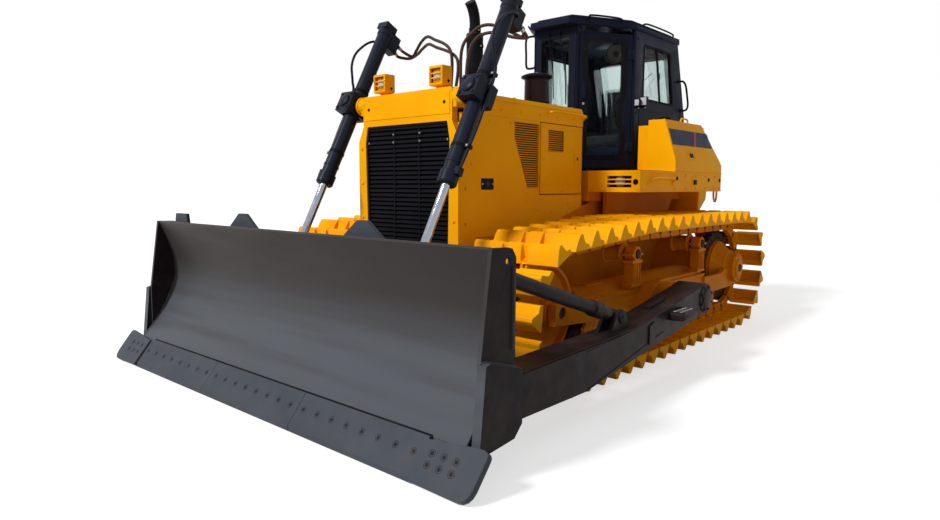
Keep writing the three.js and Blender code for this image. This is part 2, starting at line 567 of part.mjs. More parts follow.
function radiatorGuard() {
  const half = [[GUARD_HALF, 640], [GUARD_HALF, 1790], [494, 1915], [494, GUARD_TOP - 24], [476, GUARD_TOP]];
  const outline = shapeOf([...half, ...half.map(([x, z]) => [-x, z]).reverse()]);
  const plate = alongY(outline, GUARD_FRONT, GUARD_FRONT + 60);
  const hole = alongY([...GRILLE_EDGE, ...GRILLE_EDGE.map(([x, z]) => [-x, z]).reverse()],
    GUARD_FRONT - 10, GUARD_FRONT + 70);
  const cheeks = [1, -1].map((s) => alongX([[GUARD_FRONT + 40, 640], [GUARD_FRONT + 40, 1900],
    [GUARD_FRONT + 62, 1900], [GUARD_FRONT + GUARD_DEPTH, 1060], [GUARD_FRONT + GUARD_DEPTH, 640]],
  s * (GUARD_HALF - 40), s * GUARD_HALF));
  const top = block(-490, 490, GUARD_FRONT + 30, GUARD_FRONT + 178, GUARD_TOP - 60, GUARD_TOP - 2);
  const bearings = [1, -1].map((s) => cut(
    join(barX(s * 480, s * 586, YOKE.y, YOKE.z, 72, 16), block(s * 440, s * 530, YOKE.y - 60, YOKE.y + 100,
      YOKE.z - 80, YOKE.z + 50)), barX(s * 530, s * 600, YOKE.y, YOKE.z, 45.7, 24)));
  return join(cut(plate, hole), cheeks, top, bearings);
}

// A plate with three sunk panels between four uprights, bolted into the guard's opening
function grille() {
  const half = GRILLE_EDGE.map(([x, z], i) => [x - 0.5, i ? z - 0.5 : z + 0.5]);
  const outline = [...half, ...half.map(([x, z]) => [-x, z]).reverse()];
  const plate = alongY(outline, GUARD_FRONT + 8, GUARD_FRONT + 58);
  const panels = [[-410, -150], [-130, 130], [150, 410]].map(([a, b]) =>
    block(a, b, GUARD_FRONT, GUARD_FRONT + 40, 905, 1870));
  return cut(plate, panels);
}

function hood() {
  const skin = new THREE.Shape();
  const outer = [[HOOD_HALF, 1975], [HOOD_HALF, HOOD_TOP - 46], [HOOD_HALF - 16, HOOD_TOP - 14],
    [HOOD_HALF - 46, HOOD_TOP]];
  const inner = [[HOOD_HALF - 30, 1975], [HOOD_HALF - 30, HOOD_TOP - 50], [HOOD_HALF - 54, HOOD_TOP - 28]];
  const ring = [...outer, ...outer.map(([x, z]) => [-x, z]).reverse(),
    ...inner.map(([x, z]) => [-x, z]), ...inner.slice().reverse()];
  ring.forEach(([x, z], i) => (i ? skin.lineTo(x, z) : skin.moveTo(x, z)));
  const lid = alongY(skin, GUARD_FRONT + 180, HOOD_REAR);
  const stackHole = barZ(MUFFLER.x, MUFFLER.y, 2000, 2300, 75);
  const intakeHole = barZ(CLEANER.x, CLEANER.y, 2000, 2300, 70);
  const fireWall = block(-HOOD_HALF + 28, HOOD_HALF - 28, HOOD_REAR - 26, HOOD_REAR, 1600, HOOD_TOP - 20);
  return cut(join(lid, fireWall), stackHole, intakeHole);
}

const LOUVRE_FRONT = -606;
const DOOR_HINGE_Y = -228;

// The fixed side of the engine room: plain panel, louvres and the strip under the door
function hoodSide(side) {
  const front = alongX([[GUARD_FRONT + 62.9, 1900], [GUARD_FRONT + GUARD_DEPTH + 0.9, 1060],
    [GUARD_FRONT + GUARD_DEPTH + 0.9, 1050.6], [-300, 1050.6], [HOOD_REAR, 1254.2],
    [HOOD_REAR, DOOR_FOOT - RUNNING_GAP], [DOOR_HINGE_Y - RUNNING_GAP, DOOR_FOOT - RUNNING_GAP],
    [DOOR_HINGE_Y - RUNNING_GAP, 1975 - CUT_GAP], [GUARD_FRONT + 62.9, 1975 - CUT_GAP]],
  HOOD_HALF - 30, HOOD_HALF);
  const louvres = alongX([[LOUVRE_FRONT + 200, 1430], [DOOR_HINGE_Y - 30, 1430], [DOOR_HINGE_Y - 30, 1950],
    [LOUVRE_FRONT + 20, 1950], [LOUVRE_FRONT + 20, 1820]], HOOD_HALF - 12, HOOD_HALF + 10);
  return mirrored(cut(front, louvres), side);
}

function engineDoor(side) {
  const top = 1975 - RUNNING_GAP;
  const panel = alongX([[DOOR_HINGE_Y, DOOR_FOOT], [HOOD_REAR - 16, DOOR_FOOT], [HOOD_REAR - 16, top],
    [DOOR_HINGE_Y, top]], HOOD_HALF - 26, HOOD_HALF + 4);
  const louvres = block(HOOD_HALF - 12, HOOD_HALF + 20, -120, 110, 1735, 1915);
  const latch = block(HOOD_HALF, HOOD_HALF + 14, 290, 370, 1640, 1730);
  const hinges = [1460, 1860].flatMap((z) => [barZ(HOOD_HALF + 9.6, DOOR_HINGE_Y - 9, z, z + 70, 9, 12),
    block(HOOD_HALF + 2, HOOD_HALF + 12, DOOR_HINGE_Y - 9, DOOR_HINGE_Y + 50, z, z + 70)]);
  return mirrored(join(cut(panel, louvres), latch, hinges), side);
}

const MUFFLER = { x: -30, y: -430 };
const CLEANER = { x: 170, y: 205 };

function exhaustStack() {
  const { x, y } = MUFFLER;
  const muffler = barZ(x, y, 2170, 2650, 72, 20);
  const neck = join(barZ(x, y, 1950, 2180, 48, 12), barZ(x, y, 2640, 2760, 46, 16));
  const tip = bentBar([[x, y, 2740], [x, y, 2850], [x, y - 26, 2950], [x, y - 84, 3060]], 46, 8, 16);
  const mouth = block(x - 200, x + 200, y - 300, y + 300, 2990, 3200);
  const collar = barZ(x, y, HOOD_TOP + CUT_GAP, 2172, 96, 16);
  return join(muffler, neck, collar, cut(tip, mouth));
}

function airPrecleaner() {
  const { x, y } = CLEANER;
  const neck = join(barZ(x, y, 2060, 2200, 60, 16), barZ(x, y, HOOD_TOP + CUT_GAP, 2162, 100, 20));
  const bowl = barZ(x, y, 2190, 2420, 118, 24, 112);
  const cap = join(barZ(x, y, 2419, 2436, 142, 24), barZ(x, y, 2435, 2462, 138, 24, 60));
  return join(neck, bowl, cap);
}

function headlight(side) {
  const x = side * 313;
  const body = softBlock(x - 72, x + 72, GUARD_FRONT + 14, GUARD_FRONT + 124, 2176, 2322, 10);
  const mouth = block(x - 54, x + 54, GUARD_FRONT, GUARD_FRONT + 50, 2196, 2302);
  const lens = block(x - 54, x + 54, GUARD_FRONT + 40, GUARD_FRONT + 70, 2196, 2302);
  const guards = [2228, 2262].map((z) => block(x - 60, x + 60, GUARD_FRONT + 18, GUARD_FRONT + 26, z, z + 9));
  const foot = block(x - 40, x + 40, GUARD_FRONT + 64, GUARD_FRONT + 110, GUARD_TOP - 2 + CUT_GAP, 2180);
  return join(cut(body, mouth), lens, guards, foot);
}

function deck(side) {
  const box = cut(block(HOOD_HALF + 40.4, DECK_HALF, DECK_FRONT, DECK_REAR, DECK_FOOT, DECK_TOP),
    block(HOOD_HALF + 60, DECK_HALF - 16, DECK_FRONT + 200, DECK_REAR - 16, DECK_FOOT - 10, DECK_TOP - 16));
  const slots = [0, 1, 2].map((i) => block(770, 1010, DECK_FRONT - 20, DECK_FRONT + 60,
    DECK_FOOT + 42 + i * 38, DECK_FOOT + 68 + i * 38));
  const rail = bentBar([[DECK_HALF - 8, 640, 1470], [DECK_HALF + 40, 690, 1512],
    [DECK_HALF + 40, 1080, 1512], [DECK_HALF - 8, 1130, 1470]], 11, 12);
  const hook = bentBar([[DECK_HALF - 60, DECK_REAR - 8, 1500], [DECK_HALF - 60, DECK_REAR + 40, 1460],
    [DECK_HALF - 60, DECK_REAR + 46, 1330], [DECK_HALF - 60, DECK_REAR + 8, 1270],
    [DECK_HALF - 60, DECK_REAR - 34, 1330], [DECK_HALF - 60, DECK_REAR - 36, DECK_FOOT + 8]], 11, 16);
  return mirrored(join(cut(box, slots), rail, hook), side);
}

// The boxes over the fenders: their sides lean in towards the top
function sideTank(side) {
  const section = [[800, DECK_TOP + CUT_GAP], [DECK_HALF, DECK_TOP + CUT_GAP], [DECK_HALF, 1688],
    [968, TANK_TOP], [800, TANK_TOP]];
  const long = alongY(section, 1180, DECK_REAR);
  const rearSlope = alongX([[2045, TANK_TOP + 20], [2045, TANK_TOP - 4], [2312, 1668], [2500, 1668],
    [2500, TANK_TOP + 20]], 700, 1200);
  const web = block(640, 801, 1290, 1330, DECK_TOP + CUT_GAP, TANK_TOP - 40);
  return mirrored(join(cut(long, rearSlope), web), side);
}

function rearTank() {
  return alongX([[2505, 1170.4], [2560, 1170.4], [2720, 1290], [2760, 1500], [2760, 1900],
    [2700, 2030], [2505, 2050]], -780, 780);
}

// ---------------------------------------------------------------- cab
const cabPlan = (inset) => {
  const fx = CAB_FRONT.x - inset * 0.6;
  const cx = CAB_CORNER.x - inset;
  return { fx, cx, fy: CAB_FRONT.y + inset, cy: CAB_CORNER.y + inset * 0.5 };
};

// The cab's volume: its plan pulled in by an inset, cut by the leaning rear wall
function cabVolume(inset, foot, head) {
  const { fx, cx, fy, cy } = cabPlan(inset);
  const plan = [[-fx, fy], [fx, fy], [cx, cy], [cx, 3000], [-cx, 3000], [-cx, cy]];
  const side = [[fy - 400, foot], [CAB_REAR_FOOT - inset, foot], [CAB_REAR_FOOT - inset, CAB_KNEE],
    [CAB_REAR_HEAD - inset, CAB_EAVES], [CAB_REAR_HEAD - inset, head], [fy - 400, head]];
  return alongZ(plan, foot, head).intersect(alongX(side, -900, 900));
}

// The cab's hollow shell; each wall is a slice of it
const cabShell = cut(cabVolume(0, CAB_FLOOR, CAB_EAVES + 5), cabVolume(WALL, CAB_FLOOR - 10, CAB_EAVES + 10),
  block(-900, 900, 0, 3000, CAB_EAVES, CAB_EAVES + 20));

const doorLine = new THREE.Vector2(CAB_FRONT.x - CAB_CORNER.x, CAB_FRONT.y - CAB_CORNER.y);
const DOOR_SPAN = doorLine.length();
const doorAlong = doorLine.clone().normalize();
const doorOut = new THREE.Vector2(-doorAlong.y, doorAlong.x);

// A box laid against the left door side: along it from the rear corner, out of it, and up
function atDoor(a0, a1, o0, o1, z0, z1) {
  const p = (a, o) => [CAB_CORNER.x + doorAlong.x * a + doorOut.x * o,
    CAB_CORNER.y + doorAlong.y * a + doorOut.y * o];
  return alongZ([p(a0, o0), p(a1, o0), p(a1, o1), p(a0, o1)], z0, z1);
}

const DOOR_A = [34, DOOR_SPAN - 34];
const DOOR_Z = [CAB_FLOOR + 20, CAB_EAVES - 50];
const HINGE = { a: DOOR_A[0] - 8, o: 10, r: 9.4 }; // hinge line of a cab door

function hingePin(z0, z1) {
  const x = CAB_CORNER.x + doorAlong.x * HINGE.a + doorOut.x * HINGE.o;
  const y = CAB_CORNER.y + doorAlong.y * HINGE.a + doorOut.y * HINGE.o;
  return barZ(x, y, z0, z1, HINGE.r, 12);
}

const doorHole = () => atDoor(DOOR_A[0] - RUNNING_GAP, DOOR_A[1] + RUNNING_GAP, -140, 60,
  DOOR_Z[0] - RUNNING_GAP, DOOR_Z[1] + RUNNING_GAP);

function cabFront() {
  const slice = alongZ([[-CAB_FRONT.x - 60, 600], [CAB_FRONT.x + 60, 600], [CAB_FRONT.x - 2, 830],
    [-CAB_FRONT.x + 2, 830]], CAB_FLOOR, CAB_EAVES);
  const holes = [1, -1].map((s) => mirrored(doorHole(), s));
  const windscreen = block(-175, 175, 700, 900, 1850, 2890);
  return cut(cabShell.intersect(slice), holes, windscreen);
}

function cabSide(side) {
  const slice = block(CAB_CORNER.x - WALL + CUT_GAP, 700, 1000, CAB_REAR_FOOT - 120, CAB_FLOOR, CAB_EAVES);
  const window = alongX([[1480, 2320], [2180, 2320], [2080, 2860], [1480, 2860]], 500, 700);
  const bulkhead = atDoor(DOOR_A[0] - RUNNING_GAP, DOOR_SPAN, -400, 100, CAB_FLOOR - 5, CAB_EAVES + 5);
  return mirrored(cut(cabShell.intersect(slice), window, bulkhead), side);
}

function cabRear() {
  const slice = block(-600, 600, CAB_REAR_HEAD - 60, 2600, CAB_FLOOR, CAB_EAVES);
  const sides = [1, -1].map((s) => block(s * (CAB_CORNER.x - WALL), s * 700, 1000,
    CAB_REAR_FOOT - 120 + CUT_GAP, CAB_FLOOR - 5, CAB_EAVES + 5));
  const window = block(-420, 420, 2200, 2700, 2280, 2860);
  return cut(cabShell.intersect(slice), sides, window);
}

function cabDoor(side) {
  const [a0, a1] = DOOR_A;
  const [z0, z1] = DOOR_Z;
  const panel = atDoor(a0, a1, -2, -42, z0, z1);
  const glass = atDoor(a0 + 95, a1 - 70, 50, -90, z0 + 110, z1 - 70);
  const bulges = join(atDoor(a1 - 110, a1 - 60, -2, -42, 2290, 2440),
    atDoor(a0 + 90, a0 + 140, -2, -42, 2060, 2280));
  const handle = join(atDoor(a1 - 56, a1 - 34, -1, 34, 2290, 2420),
    atDoor(a1 - 62, a1 - 28, -3, 10, 2280, 2430));
  const hinges = [1790, 2690].flatMap((z) => [atDoor(a0, a0 + 60, -3, 14, z, z + 90),
    hingePin(z, z + 90)]);
  return mirrored(join(cut(panel, glass), bulges, handle, hinges), side);
}

function cabFloor() {
  const p = cabPlan(0);
  return alongZ([[-p.fx, p.fy], [p.fx, p.fy], [p.cx, p.cy], [p.cx, CAB_REAR_FOOT], [-p.cx, CAB_REAR_FOOT],
    [-p.cx, p.cy]], DECK_TOP + CUT_GAP, CAB_FLOOR - CUT_GAP);
}

function cabRoof() {
  const plan = [[-225, CAB_FRONT.y - 110], [225, CAB_FRONT.y - 110], [300, CAB_FRONT.y + 20],
    [590, 1290], [590, 2290], [-590, 2290], [-590, 1290], [-300, CAB_FRONT.y + 20]];
  const cap = plan.map(([x, y]) => [x * 0.9, 1500 + (y - 1500) * 0.9]);
  return join(alongZ(plan, CAB_EAVES + CUT_GAP, CAB_EAVES + 62), alongZ(cap, CAB_EAVES + 60, CAB_EAVES + 105));
}

// The deep base between the decks that carries the cab
function cabBase() {
  return block(-HOOD_HALF - 40, HOOD_HALF + 40, HOOD_REAR + 45, 2480, 1300.4, DECK_TOP);
}

function seatBase() {
  const backPlate = block(-120, 120, 2112, 2124, 1800, 1900);
  return join(block(-200, 200, 1700, 2080, CAB_FLOOR + CUT_GAP, 1880), block(-150, 150, 1660, 1701, 1640, 1800),
    block(-120, 120, 2079, 2124, 1800, 1850), backPlate);
}

const seatCushion = () => softBlock(-250, 250, 1640, 2110, 1880.4, 2000, 40);
const seatBack = () => softBlock(-240, 240, 2110.4, 2220, 1900.4, 2560, 40);

function console_(side) {
  const box = softBlock(290, 470, 1480, 2150, CAB_FLOOR + 0.4, 2060, 24);
  const lever = join(barZ(380, 1560, 2050, 2210, 13, 12), softBlock(354, 406, 1534, 1586, 2200, 2290, 20));
  return mirrored(join(box, lever), side);
}

function dashboard() {
  return join(softBlock(-180, 180, 810, 980, CAB_FLOOR + CUT_GAP, 2120, 20),
    softBlock(-120, 120, 860, 960, 2110, 2230, 16));
}

// ---------------------------------------------------------------- assembly
piece('main_frame', mainFrame(), YELLOW);
piece('engine_block', engineBlock(), CAST);
piece('radiator_guard', radiatorGuard(), YELLOW);
piece('grille', grille(), BLACK);
piece('hood', hood(), YELLOW);
piece('exhaust_stack', exhaustStack(), BLACK);
piece('air_precleaner', airPrecleaner(), BLACK);
piece('rear_tank', rearTank(), YELLOW);
piece('cab_base', cabBase(), YELLOW);
piece('cab_floor', cabFloor(), CAB_BLUE);
piece('cab_front', cabFront(), CAB_BLUE);
piece('cab_rear', cabRear(), CAB_BLUE);
piece('cab_roof', cabRoof(), CAB_BLUE);
piece('seat_base', seatBase(), BLACK);
piece('seat_cushion', seatCushion(), VINYL);
piece('seat_back', seatBack(), VINYL);
piece('dashboard', dashboard(), BLACK);
piece('blade', blade(), BLADE_GREY);
piece('cutting_edge', cuttingEdge(), BLADE_GREY);
piece('brace_left', brace(), BLACK);
piece('tilt_cylinder_right', tiltCylinder(), BLACK);

for (const [name, side] of SIDES) {
  piece(`track_${name}`, track(side), TRACK_YELLOW);
  piece(`track_frame_${name}`, mirrored(trackFrame(), side), YELLOW);
  piece(`track_rollers_${name}`, mirrored(rollerRow(), side), CAST);
  piece(`carrier_rollers_${name}`, mirrored(carrierRollers(), side), YELLOW);
  piece(`idler_${name}`, mirrored(idler(), side), YELLOW);
  piece(`sprocket_${name}`, mirrored(sprocket(), side), CAST);
  piece(`final_drive_${name}`, mirrored(finalDrive(), side), YELLOW);
  piece(`push_arm_${name}`, mirrored(pushArm(), side), BLADE_GREY);
  piece(`lift_barrel_${name}`, mirrored(liftBarrel(), side), BLACK);
  piece(`lift_yoke_${name}`, mirrored(liftYoke(), side), BLACK);
  piece(`lift_rod_${name}`, mirrored(liftRod(), side), CHROME);
  piece(`hood_side_${name}`, hoodSide(side), YELLOW);
  piece(`engine_door_${name}`, engineDoor(side), YELLOW);
  piece(`headlight_${name}`, headlight(side), YELLOW);
  piece(`deck_${name}`, deck(side), YELLOW);
  piece(`side_tank_${name}`, sideTank(side), YELLOW);
  piece(`cab_side_${name}`, cabSide(side), CAB_BLUE);
  piece(`cab_door_${name}`, cabDoor(side), CAB_BLUE);
  piece(`console_${name}`, console_(side), BLACK);
}

export default root;
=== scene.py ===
"""Looks of a crawler bulldozer on wide tracks. Shapes are written in millimetres in the part's own
drawing frame (it faces -Y, its left side is +X, +Z is up) and placed in metres by build()."""
import bmesh
import bpy
import json
import math
from itertools import pairwise, product
from mathutils import Matrix, Vector

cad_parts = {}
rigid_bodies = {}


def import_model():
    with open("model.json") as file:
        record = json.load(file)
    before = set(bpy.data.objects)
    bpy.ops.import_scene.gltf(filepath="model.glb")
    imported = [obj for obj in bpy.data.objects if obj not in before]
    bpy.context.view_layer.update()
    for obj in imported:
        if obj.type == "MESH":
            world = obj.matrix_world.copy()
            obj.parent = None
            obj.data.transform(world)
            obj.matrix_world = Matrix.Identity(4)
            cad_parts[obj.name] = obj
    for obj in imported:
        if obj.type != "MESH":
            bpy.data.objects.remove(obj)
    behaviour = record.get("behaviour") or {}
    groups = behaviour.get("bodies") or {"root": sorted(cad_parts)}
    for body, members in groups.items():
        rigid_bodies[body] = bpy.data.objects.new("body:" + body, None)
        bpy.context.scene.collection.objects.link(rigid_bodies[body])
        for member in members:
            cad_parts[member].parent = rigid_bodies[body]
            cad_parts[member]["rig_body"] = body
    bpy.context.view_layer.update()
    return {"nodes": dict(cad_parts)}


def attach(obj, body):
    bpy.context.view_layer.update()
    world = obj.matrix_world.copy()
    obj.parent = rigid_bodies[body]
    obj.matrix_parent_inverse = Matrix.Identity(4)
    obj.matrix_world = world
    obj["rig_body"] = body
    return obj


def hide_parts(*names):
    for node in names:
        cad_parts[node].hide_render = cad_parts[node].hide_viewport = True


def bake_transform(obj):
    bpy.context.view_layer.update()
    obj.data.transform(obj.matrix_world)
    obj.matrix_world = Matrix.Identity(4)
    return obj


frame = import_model()
NODES = frame["nodes"]
MID_Y = -16  # the frame's Y = 0 lies 16 mm behind the drawing's
LEFT, RIGHT, FRONT, REAR, UP, DOWN = (1, 0, 0), (-1, 0, 0), (0, -1, 0), (0, 1, 0), (0, 0, 1), (0, 0, -1)


# ------------------------------------------------------------------ materials
DUST = (0.42, 0.33, 0.22)


def node(tree, kind, **values):
    made = tree.nodes.new(kind)
    for name, value in values.items():
        if name in made.inputs:
            made.inputs[name].default_value = value
        else:
            setattr(made, name, value)
    return made


def place_in(tree):
    """Where a point is on the object, in metres."""
    return node(tree, "ShaderNodeTexCoord").outputs["Object"]


def noise(tree, scale, detail=3.0, stretch=None):
    """Noise in metres over the object, with an optional stretch along the axes."""
    where = place_in(tree)
    if stretch:
        mapping = node(tree, "ShaderNodeMapping", Scale=stretch)
        tree.links.new(where, mapping.inputs["Vector"])
        where = mapping.outputs["Vector"]
    made = node(tree, "ShaderNodeTexNoise", Scale=scale, Detail=detail)
    tree.links.new(where, made.inputs["Vector"])
    return made.outputs["Fac"]


def between(tree, fac, low, high, start=0.35, end=0.65):
    """A number that goes from low to high as fac goes from start to end."""
    made = node(tree, "ShaderNodeMapRange")
    for name, value in (("From Min", start), ("From Max", end), ("To Min", low), ("To Max", high)):
        made.inputs[name].default_value = value
    tree.links.new(fac, made.inputs["Value"])
    return made.outputs["Result"]


def mix(tree, fac, a, b):
    """A colour from a to b; a and b are colours or sockets."""
    made = node(tree, "ShaderNodeMix", data_type="RGBA")
    tree.links.new(fac, made.inputs["Factor"])
    for socket, value in ((made.inputs[6], a), (made.inputs[7], b)):
        if isinstance(value, tuple):
            socket.default_value = (*value, 1)
        else:
            tree.links.new(value, socket)
    return made.outputs[2]


def combined(tree, operation, a, b, clamp=False):
    """Two numbers added or multiplied; b is a number or a socket."""
    made = node(tree, "ShaderNodeMath", operation=operation, use_clamp=clamp)
    tree.links.new(a, made.inputs[0])
    if isinstance(b, float):
        made.inputs[1].default_value = b
    else:
        tree.links.new(b, made.inputs[1])
    return made.outputs[0]


def height(tree):
    """Height over the ground, in metres."""
    split = node(tree, "ShaderNodeSeparateXYZ")
    tree.links.new(place_in(tree), split.inputs[0])
    return split.outputs["Z"]


def bump(tree, shader, fac, strength, distance):
    made = node(tree, "ShaderNodeBump", Strength=strength, Distance=distance)
    tree.links.new(fac, made.inputs["Height"])
    tree.links.new(made.outputs["Normal"], shader.inputs["Normal"])


def surface(name, **values):
    """An empty procedural material: its tree and its Principled shader."""
    made = bpy.data.materials.new(name)
    made.use_nodes = True
    shader = made.node_tree.nodes["Principled BSDF"]
    for key, value in values.items():
        shader.inputs[key.replace("_", " ")].default_value = value
    return made, made.node_tree, shader


def coated(name, color, dark, rough=(0.38, 0.52), dust=0.12, gloss=0.05, coat=0.0, metallic=0.0, grain=0.04):
    """Sprayed paint: slow colour drift, orange-peel bump, uneven gloss and dust near the ground."""
    made, tree, shader = surface(name, Metallic=metallic, Coat_Weight=coat, Coat_Roughness=0.15,
        Specular_IOR_Level=gloss)
    tone = mix(tree, between(tree, noise(tree, 1.7, 4), 0.0, 1.0, 0.4, 0.72), color, dark)
    dusty = combined(tree, "MULTIPLY", between(tree, height(tree), dust, 0.02 * dust, 0.1, 1.5),
        between(tree, noise(tree, 9, 6), 0.0, 1.0, 0.42, 0.66))
    tree.links.new(mix(tree, dusty, tone, DUST), shader.inputs["Base Color"])
    tree.links.new(between(tree, noise(tree, 6, 5), *rough), shader.inputs["Roughness"])
    bump(tree, shader, noise(tree, 160, 2), grain, 0.002)
    return made


def grained(name, tone, colors, uneven, rough, relief, strength, depth, **values):
    """A colour between two, uneven gloss and a fine bump; tone, uneven and relief describe their noises."""
    made, tree, shader = surface(name, **values)
    tree.links.new(mix(tree, noise(tree, *tone), *colors), shader.inputs["Base Color"])
    tree.links.new(between(tree, noise(tree, *uneven), *rough), shader.inputs["Roughness"])
    bump(tree, shader, noise(tree, *relief), strength, depth)
    return made


def blade_steel():
    """Dark satin paint on the blade with long faint streaks; lighter blue-grey below and brownish above is a
    painted reflection.
    """
    made, tree, shader = surface("blade_steel", Specular_IOR_Level=0.1)
    # Painted reflection: the face is lighter blue-grey below 0.48 m and brownish above 0.82 m
    level = between(tree, height(tree), 0.0, 1.0, 0.48, 0.82)
    tone = mix(tree, level, (0.076, 0.084, 0.096), (0.042, 0.035, 0.034))
    streak = between(tree, noise(tree, 1.6, 6, (0.35, 1, 7)), 0.0, 0.5, 0.45, 0.75)
    tree.links.new(mix(tree, streak, tone, (0.04, 0.036, 0.037)), shader.inputs["Base Color"])
    tree.links.new(between(tree, noise(tree, 3, 6, (0.5, 1, 3)), 0.34, 0.46), shader.inputs["Roughness"])
    bump(tree, shader, noise(tree, 120, 2), 0.05, 0.002)
    return made


def tinted_glass():
    """Pale green-grey panes that let part of the light straight through."""
    made, tree, shader = surface("cab_glass", Roughness=0.02, IOR=1.09, Transmission_Weight=1.0,
        Specular_IOR_Level=0.4)
    tint = mix(tree, noise(tree, 1.2, 2), (0.68, 0.78, 0.765), (0.62, 0.735, 0.715))
    tree.links.new(tint, shader.inputs["Base Color"])
    tree.links.new(between(tree, noise(tree, 2.5, 3), 0.7, 0.8), shader.inputs["Alpha"])
    return made


def lamp_glass():
    """A ribbed lens over a bright reflector."""
    made, tree, shader = surface("lamp_glass", IOR=1.45)
    wave = node(tree, "ShaderNodeTexWave", Scale=30.0, Distortion=0.4)
    tree.links.new(place_in(tree), wave.inputs["Vector"])
    ridges = wave.outputs["Fac"]
    tree.links.new(mix(tree, ridges, (0.36, 0.38, 0.41), (0.62, 0.64, 0.67)), shader.inputs["Base Color"])
    tree.links.new(between(tree, ridges, 0.08, 0.2, 0, 1), shader.inputs["Roughness"])
    bump(tree, shader, ridges, 0.4, 0.002)
    return made


# The "under" finish is a darker, redder copy of the yellow paint: painted shade on the undercarriage, main
# frame and cab base
MAT = {"yellow": coated("yellow_paint", (0.98, 0.435, 0.001), (0.93, 0.365, 0.0005), dust=0.06, gloss=0.04,
    coat=0.01), "track": coated("track_paint", (0.95, 0.41, 0.001), (0.82, 0.30, 0.001), (0.46, 0.62), 0.08,
    0.04, grain=0.08), "under": coated("undercarriage_painted_shade", (0.76, 0.25, 0.001), (0.58, 0.155, 0.001),
    (0.45, 0.6), 0.07, 0.04), "blade": blade_steel(), "edge": coated("edge_steel", (0.062, 0.069, 0.084),
    (0.046, 0.052, 0.065), (0.42, 0.56), 0.02), "arm": coated("arm_paint_and_painted_shade", (0.014, 0.01, 0.013),
    (0.022, 0.015, 0.015), (0.36, 0.5), 0.04, 0.06), "cab": coated("cab_paint", (0.013, 0.017, 0.036),
    (0.010, 0.013, 0.027), (0.26, 0.4), 0.0, 0.03), "black": coated("black_paint", (0.011, 0.011, 0.014),
    (0.006, 0.006, 0.008), (0.34, 0.5), 0.02, 0.03), "cylinder": coated("cylinder_paint",
    (0.014, 0.018, 0.032), (0.017, 0.016, 0.024), (0.26, 0.4), 0.02, 0.07),
    "rust": coated("dark_cast_and_painted_shade", (0.05, 0.028, 0.018), (0.024, 0.016, 0.013), (0.55, 0.74), 0.3, grain=0.3),
    "rubber": coated("seal_rubber", (0.008, 0.008, 0.009), (0.014, 0.014, 0.015), (0.6, 0.8), 0.0, grain=0.2),
    "trim": coated("cab_trim", (0.022, 0.031, 0.07), (0.015, 0.022, 0.05), (0.5, 0.7), 0.0, 0.1, grain=0.25),
    "navy": coated("navy_band", (0.012, 0.014, 0.06), (0.01, 0.012, 0.045), (0.3, 0.45), 0.0),
    "red": coated("red_stripe", (0.55, 0.03, 0.02), (0.5, 0.025, 0.018), (0.3, 0.4), 0.0),
    "steel": coated("bare_steel", (0.34, 0.34, 0.34), (0.24, 0.23, 0.22), (0.3, 0.45), 0.0, 0.5,
    metallic=1.0), "bowl": coated("intake_bowl", (0.022, 0.010, 0.011), (0.013, 0.007, 0.008), (0.2, 0.34),
    0.0, 0.08), "chrome": grained("chrome_rod", (4, 3, (1, 1, 8)), ((0.27, 0.295, 0.35), (0.36, 0.385, 0.44)),
    (30, 3, (1, 1, 0.1)), (0.07, 0.16), (400, 1), 0.01, 0.0005, Metallic=1.0),
    "hose": grained("hose_rubber", (14, 4), ((0.035, 0.02, 0.016), (0.075, 0.04, 0.03)), (40, 3),
    (0.36, 0.55), (500, 2), 0.12, 0.001, Specular_IOR_Level=0.12), "glass": tinted_glass(),
    "lamp": lamp_glass(), "vinyl": grained("seat_vinyl", (8, 4), ((0.022, 0.025, 0.032), (0.04, 0.043, 0.05)),
    (60, 4), (0.45, 0.65), (900, 3), 0.35, 0.0012, Sheen_Weight=0.15),}


# ------------------------------------------------------------------ shape kit, in millimetres
PLACE = {"X": lambda a, b, c: (c, a, b), "Y": lambda a, b, c: (a, c, b), "Z": lambda a, b, c: (a, b, c)}


def circle(count, radius, turn=0.0):
    """Points round the origin; turn is the first one's share of a step."""
    angles = (2 * math.pi * (i + turn) / count for i in range(count))
    return [(radius * math.cos(a), radius * math.sin(a)) for a in angles]


def rectangle(a0, a1, b0, b1):
    return [(a0, b0), (a1, b0), (a1, b1), (a0, b1)]


def chamfered(a0, a1, b0, b1, c):
    """A rectangle with its corners cut off."""
    return [(a0 + c, b0), (a1 - c, b0), (a1, b0 + c), (a1, b1 - c), (a1 - c, b1), (a0 + c, b1), (a0, b1 - c),
        (a0, b0 + c)]


